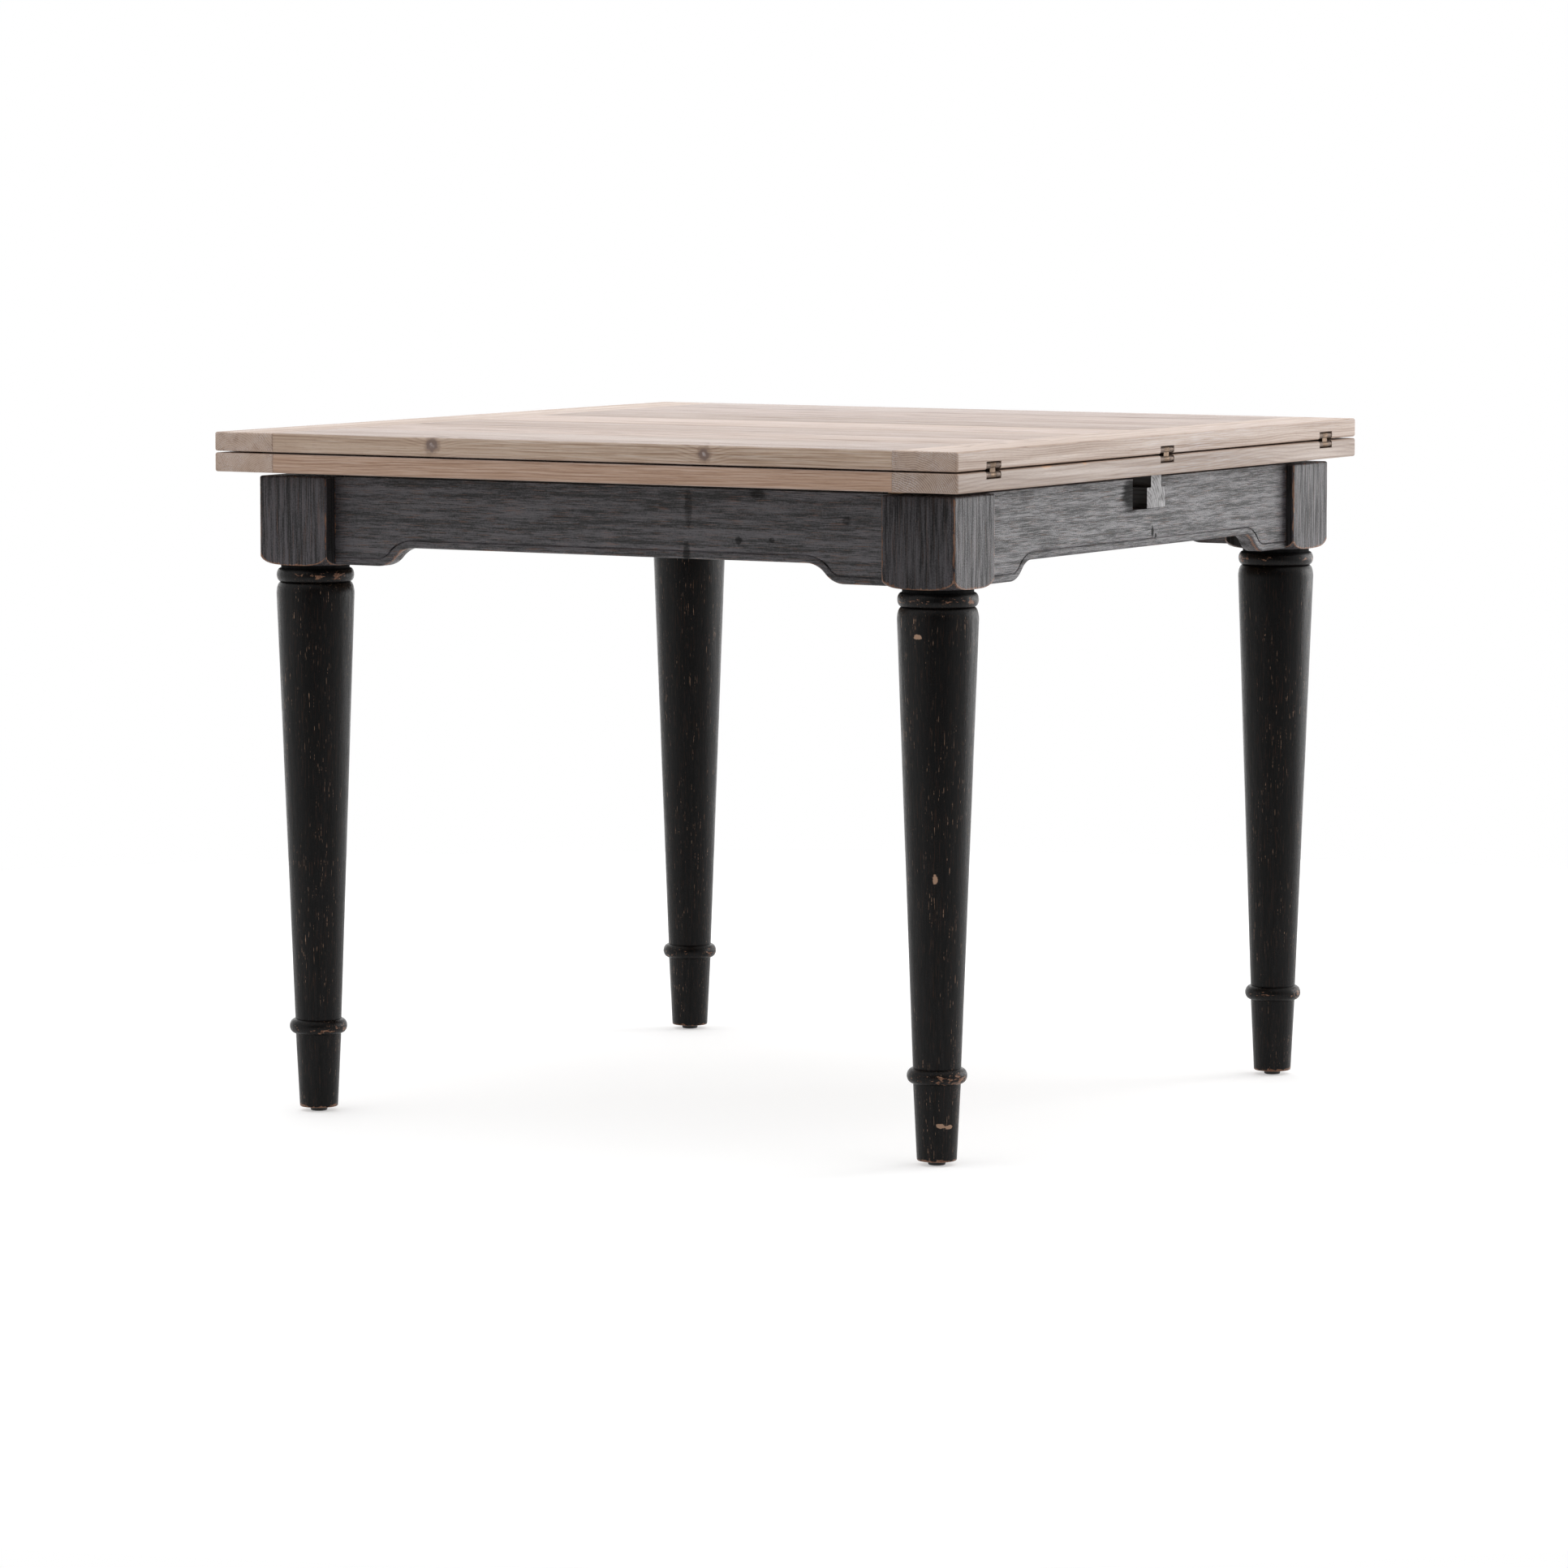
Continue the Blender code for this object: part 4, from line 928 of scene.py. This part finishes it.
class TABLE_OT_aprons(bpy.types.Operator):
    """Makes the four aprons with ogee arches, the end ones notched for the runner"""

    bl_idname = "table.aprons"
    bl_label = "Aprons"

    def execute(self, context):
        look = context.scene.table_aprons
        paint = context.scene.table_paint
        lows, highs = (np.array(corner) for corner in zip(*(box("leg_" + name) for name in CORNERS)))
        half_x = (lows[:, X].max() - highs[:, X].min()) / 2 - FIT
        half_y = (lows[:, Y].max() - highs[:, Y].min()) / 2 - FIT
        middle_x = (lows[:, X].min() + highs[:, X].max()) / 2
        if half_y < look.ogee_land + look.ogee_run:
            raise ValueError("the ogees leave no room between the legs")

        front_face = box("apron_front")[0][Y]
        end_face = box("apron_hinge_end")[1][X]
        # Painted shade and a paint smear, black, beside the runner's notch.
        before, level, reach, black = NOTCH_SHADE_AND_SMEAR
        notch_shade_and_smear = ((end_face, box("keeper_hinge_end")[0][Y] - before, level), reach, black)
        # Brushed and painted along the run: bright ribs, brown threads, and smears where paint lies thick.
        long_grain = painted_pine(
            "rubbed_black_paint_front", paint, X, specular=0.56, rib=0.020, flecks=0.4, threads=0.5,
            stains_and_shade=[((run, front_face, level), reach, black) for run, level, reach, black in FRONT_SMEARS],
        )
        drips = [((end_face, run, level), reach, black) for run, level, reach, black in END_SMEARS]
        cross_grain = painted_pine(
            "rubbed_black_paint_end", paint, Y, specular=0.55, rib=0.022, flecks=0.0, threads=0.35,
            stains_and_shade=[notch_shade_and_smear, *drips],
        )
        for name, side in (("front", -1), ("back", 1)):
            node = "apron_" + name
            low, high = box(node)
            place = (middle_x, low[Y] if side < 0 else high[Y], high[Z])
            turn = math.pi * (side > 0)
            skin = apron_skin(look, half_x, high[Z] - low[Z], high[Y] - low[Y], place, turn)
            make_piece("moulded_" + node, [skin], [long_grain], "frame", [node])

        runner_low, runner_high = box("runner")
        play = look.runner_play
        floor = runner_low[Z] - play
        wall = runner_high[Y] + play
        lip = (runner_low[Y] + runner_high[Y]) / 2 + look.stem_width / 2 + play
        under_lip = runner_low[Z] + look.flange_height + play
        for name, side in zip(ENDS, (1, -1)):
            node = "apron_" + name
            low, high = box(node)
            place = (high[X] if side > 0 else low[X], 0, high[Z])
            turn = side * math.pi / 2
            drop_in = box("keeper_" + name)[0][Y] - FIT
            notch = (*sorted((side * drop_in, side * wall)), high[Z] - floor)
            skin = apron_skin(look, half_y, high[Z] - low[Z], high[X] - low[X], place, turn, notch)
            hook_low = np.array([low[X], lip, under_lip])
            hook_high = np.array([high[X], wall + NOTCH_STEP, high[Z]])
            hook = slab_skin(hook_low, hook_high, X, (SQUARE,) * 4, SQUARE, 1)
            make_piece("moulded_" + node, [skin, hook], [cross_grain], "frame", [node])
        return {"FINISHED"}


class TABLE_OT_leaves(bpy.types.Operator):
    """Makes the boards and end boards of both leaves"""

    bl_idname = "table.leaves"
    bl_label = "Leaves"

    def execute(self, context):
        look = context.scene.table_leaves
        draw = np.random.default_rng(SEED)
        for leaf in ("lower", "upper"):
            body = leaf + "_leaf"
            inner = box(f"{leaf}_breadboard_free_end")[1][X] + look.glue_line
            outer = box(f"{leaf}_breadboard_hinge_end")[0][X] - look.glue_line
            for number in range(1, BOARDS + 1):
                node = f"{leaf}_board_{number}"
                low, high = box(node)
                low[X], high[X] = inner, outer
                if number > 1:
                    low[Y] -= FIT / 2 - look.glue_line / 2
                if number < BOARDS:
                    high[Y] += FIT / 2 - look.glue_line / 2
                front = look.edge_ease if number == 1 else look.glue_line
                back = look.edge_ease if number == BOARDS else look.glue_line
                skin = slab_skin(low, high, X, (back, front, front, back), look.glue_line, rim=1.0)
                middle = (low + high) / 2
                pith = middle + draw.uniform(*BOARD_PITH)
                tone = draw.uniform(*BOARD_TONE)
                spacing = look.ring_spacing * draw.uniform(*BOARD_RINGS)
                lean = math.radians(draw.uniform(*BOARD_LEAN))
                knots = ()
                if node == "upper_board_1":
                    knots = [((run, low[Y], level), across) for run, level, across in KNOTS]
                shares = tone * np.array(BOARD_SHADES.get(node, PLAIN_SHADE))
                stock = [tuple(shares * colour) for colour in (look.early, look.late)]
                # Brushed and limed: rosy brown rings under a white veil, matt and polished in turn.
                finish = sawn_pine(
                    f"limed_pine_{leaf}_{number}", X, pith, lean, (*stock, look.lime, look.knot), spacing,
                    limed=0.95, contrast=0.65 if number == 1 else 0.9, knots=knots,
                    dull=draw.uniform(*BOARD_DULL),
                    rim_tone=RIM_TONES[leaf] if number in (1, BOARDS) else None,
                )
                make_piece(f"{leaf}_plank_{number}", [skin], [finish], body, [node])
            for name in ("free_end", "hinge_end"):
                node = f"{leaf}_breadboard_{name}"
                low, high = box(node)
                pith = (low + high) / 2 + draw.uniform(*END_PITH)
                lean = math.radians(draw.uniform(*END_LEAN))
                chips = []
                if node == "lower_breadboard_hinge_end":
                    level = high[Z] - NICK_DROP
                    chips = [((high[X], run, level), (NICK_DEEP, half, NICK_HIGH)) for run, half in NICKS]
                inside, ends, edge = END_TONES.get(node, PLAIN_END)
                middle, half = (low + high) / 2, (high - low) / 2
                # The edge share darkens the hinged edge as painted shade.
                faces = ((Y, middle[Y], half[Y], inside, ends), (X, middle[X], half[X], 1.0, edge))
                stock = (look.early, look.late, look.lime, look.knot)
                # The same wood turned across, with end grain that drinks stain and comes out darker.
                finish = sawn_pine(
                    f"limed_pine_{leaf}_{name}", Y, pith, lean, stock, look.end_spacing,
                    limed=0.8, contrast=0.6, chips=chips, faces=faces,
                )
                if name == "hinge_end":
                    dress(node, finish)
                else:
                    joint, ease = look.glue_line, look.edge_ease
                    skin = slab_skin(low, high, Y, (joint, joint, ease, ease), ease)
                    make_piece(f"{leaf}_end_board_free", [skin], [finish], body, [node])
        return {"FINISHED"}


class TABLE_OT_hinges(bpy.types.Operator):
    """Finishes the three link hinges and adds the screws in their straps"""

    bl_idname = "table.hinges"
    bl_label = "Hinges"

    def execute(self, context):
        look = context.scene.table_hardware
        # Rolled steel and cast bronze, browned by age, so dim and blotched. The screws are brighter.
        steel = aged_metal("browned_steel", look.steel, dark_share=0.35, roughness=0.45)
        bronze = aged_metal("brown_bronze", look.bronze, dark_share=0.35, roughness=0.45)
        bright = aged_metal("strap_screw_steel", look.screw, dark_share=0.25, roughness=0.35)
        for leaf, up in (("lower", 1), ("upper", -1)):
            heads = []
            for name in HINGES:
                plate = f"hinge_{leaf}_plate_{name}"
                low, high = box(plate)
                level = high[Z] if up > 0 else low[Z]
                middle = (low[Y] + high[Y]) / 2
                for along, across in STRAP_SCREWS:
                    heads.append(((low[X] + along, middle + across, level), (0, 0, up)))
                dress(plate, steel)
                dress(f"hinge_{leaf}_pin_{name}", steel)
            make_screws(f"strap_screws_{leaf}", look, heads, bright, leaf + "_leaf")
        for name in HINGES:
            dress("hinge_link_" + name, bronze)
        return {"FINISHED"}


class TABLE_OT_underframe(bpy.types.Operator):
    """Finishes the runner, rails, keepers, braces, felt and bumper dots, and adds their screws"""

    bl_idname = "table.underframe"
    bl_label = "Underframe"

    def execute(self, context):
        look = context.scene.table_hardware
        # Turned and left bare, so grey, with a dull shine.
        steel = aged_metal("wood_screw_steel", look.screw, dark_share=0.3, roughness=0.38)
        # Pressed from wool, so soft, without shine, and mottled by its fibres.
        felt = grained_plain(
            "grey_wool_felt", look.felt, spacing=0.0008, contrast=0.45, roughness=0.95, depth=0.0003,
            more={"Sheen Weight": 0.3},
        )
        # Cast in a smooth mould, so glossy, milky and partly clear.
        silicone = grained_plain(
            "clear_silicone", look.silicone, spacing=0.002, contrast=0.1, roughness=0.25, depth=0.00005,
            more={"Transmission Weight": 0.6, "IOR": 1.41},
        )
        rail_low, rail_high = box("cross_rail_hinge_end")
        rail_pith = (rail_low + rail_high) / 2 + np.array((0.05, 0, -0.06))
        bare = (look.pine_early, look.pine_late, look.pine_early, look.pine_late)
        # Sawn and left unpainted, so warm, plain and matt.
        across = sawn_pine(
            "bare_sawn_pine_across", Y, rail_pith, 0.01, bare, look.rail_spacing, limed=0.2, contrast=0.9
        )
        upright = sawn_pine(
            "bare_sawn_pine_braces", Z, (0.11, 0.07, 0), 0.02, bare, look.rail_spacing,
            limed=0.2, contrast=0.9,
        )
        paint = context.scene.table_paint
        # Painted shade: black without shine, as the keepers sit deep in the shadow of the notch.
        keeper_shade = painted_pine(
            "keepers_painted_shade_black", paint, Y, specular=0.03, rib=0.02, flecks=0.0, threads=0.1,
            paints=(paint.shaft_deep, paint.shaft),
        )
        runner_low, runner_high = box("runner")
        middle = (runner_low + runner_high) / 2
        grey = (look.stain_early, look.stain_late, look.stain_early, look.stain_late)
        runner_pith = middle + np.array((0, -0.035, -0.03))
        # Painted shade along its length, nearly black, as its sides lie in the notch's shadow; grey stain
        # on the sawn ends, where the rings show.
        stained = sawn_pine(
            "grey_stained_pine_painted_shade_sides", X, runner_pith, 0.004, grey, look.runner_spacing, limed=0.2, contrast=1.0,
            faces=[(X, middle[X], (runner_high - runner_low)[X] / 2, 0.04, 1.0)],
        )
        dress("runner", stained)
        dress("runner_stop", across)
        for name in ENDS:
            dress("cross_rail_" + name, across)
            dress("keeper_" + name, keeper_shade)
        for name in ("front", "back"):
            dress("felt_strip_" + name, felt)
            dress("bumper_" + name, silicone)
        heads = []
        for name in CORNERS:
            brace = "corner_brace_" + name
            dress(brace, upright)
            to_middle = -np.sign(np.add(*box("leg_" + name)))[:2]
            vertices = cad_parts[brace].data.vertices
            corners = np.empty(3 * len(vertices), np.float32)
            vertices.foreach_get("co", corners)
            corners = corners.astype(float).reshape(-1, 3)
            inner = (corners[:, :2] * to_middle).sum(axis=1)
            face = corners[inner > inner.max() - BRACE_FACE]
            middle = (face.min(axis=0) + face.max(axis=0)) / 2
            for lift in BRACE_SCREWS:
                heads.append(((middle[X], middle[Y], middle[Z] + lift), (*to_middle, 0)))
        make_screws("brace_screws", look, heads, steel, "frame")

        stop_low, stop_high = box("runner_stop")
        run, line = ((stop_low + stop_high) / 2)[:2]
        down = (0, 0, -1)
        heads = [((run, line + shift, stop_low[Z]), down) for shift in STOP_SCREWS]
        heads += [((place, line, runner_low[Z]), down) for place in RUNNER_SCREWS]
        make_screws("runner_screws", look, heads, steel, "lower_leaf")

        heads = []
        for name in ENDS:
            low, high = box("keeper_" + name)
            inside = low[X] if low[X] > 0 else high[X]
            head = (inside, low[Y] + KEEPER_SCREW, (low[Z] + high[Z]) / 2)
            heads.append((head, (-np.sign(inside), 0, 0)))
        make_screws("keeper_screws", look, heads, steel, "frame")
        return {"FINISHED"}


def softbox(name, place, target, width, watts):
    """A square lamp that faces a point and that the camera doesn't see."""
    data = bpy.data.lights.new(name, "AREA")
    data.shape = "SQUARE"
    data.size = width
    data.energy = watts
    lamp = bpy.data.objects.new(name, data)
    lamp.location = place
    lamp.rotation_euler = (Vector(target) - Vector(place)).to_track_quat("-Z", "Y").to_euler()
    lamp.visible_camera = False
    bpy.context.scene.collection.objects.link(lamp)


def seen_directly(tree):
    """1 for rays from the camera, from gloss and through glass, and 0 for those that light the table."""
    rays = add(tree, "LightPath").node.outputs
    first = add(tree, "Math MAXIMUM", (rays["Is Camera Ray"], rays["Is Glossy Ray"]))
    return add(tree, "Math MAXIMUM", (first, rays["Is Transmission Ray"]))


class TABLE_OT_stage(bpy.types.Operator):
    """Makes the floor, the soft light and the camera"""

    bl_idname = "table.stage"
    bl_label = "Stage"

    def execute(self, context):
        scene = context.scene
        look = scene.table_stage
        scene.view_settings.view_transform = "Standard"

        # Matt paper: even and without shine. It keeps the shadow, and glows a little so that it is seen
        # as white.
        finish, tree = new_finish("white_floor_paper")
        paper = add(tree, "BsdfDiffuse", {"Color": look.floor})
        lift = add(tree, "Math MULTIPLY", (seen_directly(tree), look.floor_lift))
        glow = add(tree, "Emission", {"Strength": lift})
        add(tree, "OutputMaterial", {"Surface": add(tree, "AddShader", (paper, glow))})
        angle = np.linspace(0, 2 * math.pi, 64, endpoint=False)
        rim = look.floor_reach * np.stack([np.cos(angle), np.sin(angle), 0 * angle], axis=-1)
        mesh = bpy.data.meshes.new("floor")
        mesh.from_pydata(rim.tolist(), [], [list(range(len(rim)))])
        mesh.materials.append(finish)
        floor = bpy.data.objects.new("floor", mesh)
        scene.collection.objects.link(floor)

        world = bpy.data.worlds.new("white_room")
        scene.world = world
        world.use_nodes = True
        tree = world.node_tree
        tree.nodes.clear()
        # The room is dark round the camera and bright on the far wall, as the gloss of the table shows.
        way = add(tree, "TexCoord")
        to_eye = (math.sin(look.yaw), -math.cos(look.yaw), 0)
        facing = add(tree, "VectorMath DOT_PRODUCT", (way, to_eye))
        opening = add(tree, "MapRange", (facing, 0.50, 0.95, 0.0, -look.opening), **SMOOTH)
        wall = add(tree, "MapRange", (facing, -0.60, -0.95, 0.0, look.far_wall), **SMOOTH)
        wall = add(tree, "Math ADD", (wall, opening))
        others = add(tree, "LightPath").node.outputs["Is Camera Ray"]
        others = add(tree, "Math SUBTRACT", (1.0, others))
        room = add(tree, "MapRange", {"Value": seen_directly(tree), "To Min": look.ambient, "To Max": 1.0})
        strength = add(tree, "Math MULTIPLY_ADD", (wall, others, room))
        light = add(tree, "Background", {"Color": (1, 1, 1), "Strength": strength})
        add(tree, "OutputWorld", {"Surface": light})

        softbox("overhead_softbox", (-0.6, 0.9, 3.6), target=(0, 0, 0.7), width=2.4, watts=look.key_watts)
        softbox("side_softbox", (1.9, 2.7, 0.9), target=(0.4, 0, 0.65), width=1.5, watts=look.side_watts)

        data = bpy.data.cameras.new("camera")
        data.lens = look.lens
        data.sensor_width = 36.0
        data.clip_end = 200.0
        camera = bpy.data.objects.new("camera", data)
        camera.location = look.eye
        camera.rotation_euler = (math.pi / 2 - look.pitch, 0, look.yaw)
        scene.collection.objects.link(camera)
        scene.camera = camera
        return {"FINISHED"}


class TABLE_PT_looks(bpy.types.Panel):
    """Lists the steps that dress the table, with their sizes and colours"""

    bl_idname = "TABLE_PT_looks"
    bl_label = "Fold-over table"
    bl_space_type = "VIEW_3D"
    bl_region_type = "UI"
    bl_category = "Table"

    def draw(self, context):
        for operator in OPERATORS:
            self.layout.operator(operator.bl_idname)
        for attribute, group in GROUPS.items():
            column = self.layout.column(heading=attribute.replace("_", " "))
            for key in group.__annotations__:
                column.prop(getattr(context.scene, attribute), key)


OPERATORS = (
    TABLE_OT_legs,
    TABLE_OT_aprons,
    TABLE_OT_leaves,
    TABLE_OT_hinges,
    TABLE_OT_underframe,
    TABLE_OT_stage,
)
GROUPS = {
    "table_legs": TableLegLook,
    "table_aprons": TableApronLook,
    "table_paint": TablePaintLook,
    "table_leaves": TableLeafLook,
    "table_hardware": TableHardwareLook,
    "table_stage": TableStageLook,
}


def register():
    for kind in (*GROUPS.values(), *OPERATORS, TABLE_PT_looks):
        bpy.utils.register_class(kind)
    for attribute, group in GROUPS.items():
        setattr(bpy.types.Scene, attribute, bpy.props.PointerProperty(type=group))


def unregister():
    for attribute in GROUPS:
        delattr(bpy.types.Scene, attribute)
    for kind in reversed((*GROUPS.values(), *OPERATORS, TABLE_PT_looks)):
        bpy.utils.unregister_class(kind)


def main():
    register()
    bpy.ops.table.legs()
    bpy.ops.table.aprons()
    bpy.ops.table.leaves()
    bpy.ops.table.hinges()
    bpy.ops.table.underframe()
    bpy.ops.table.stage()


if __name__ == "__main__":
    main()
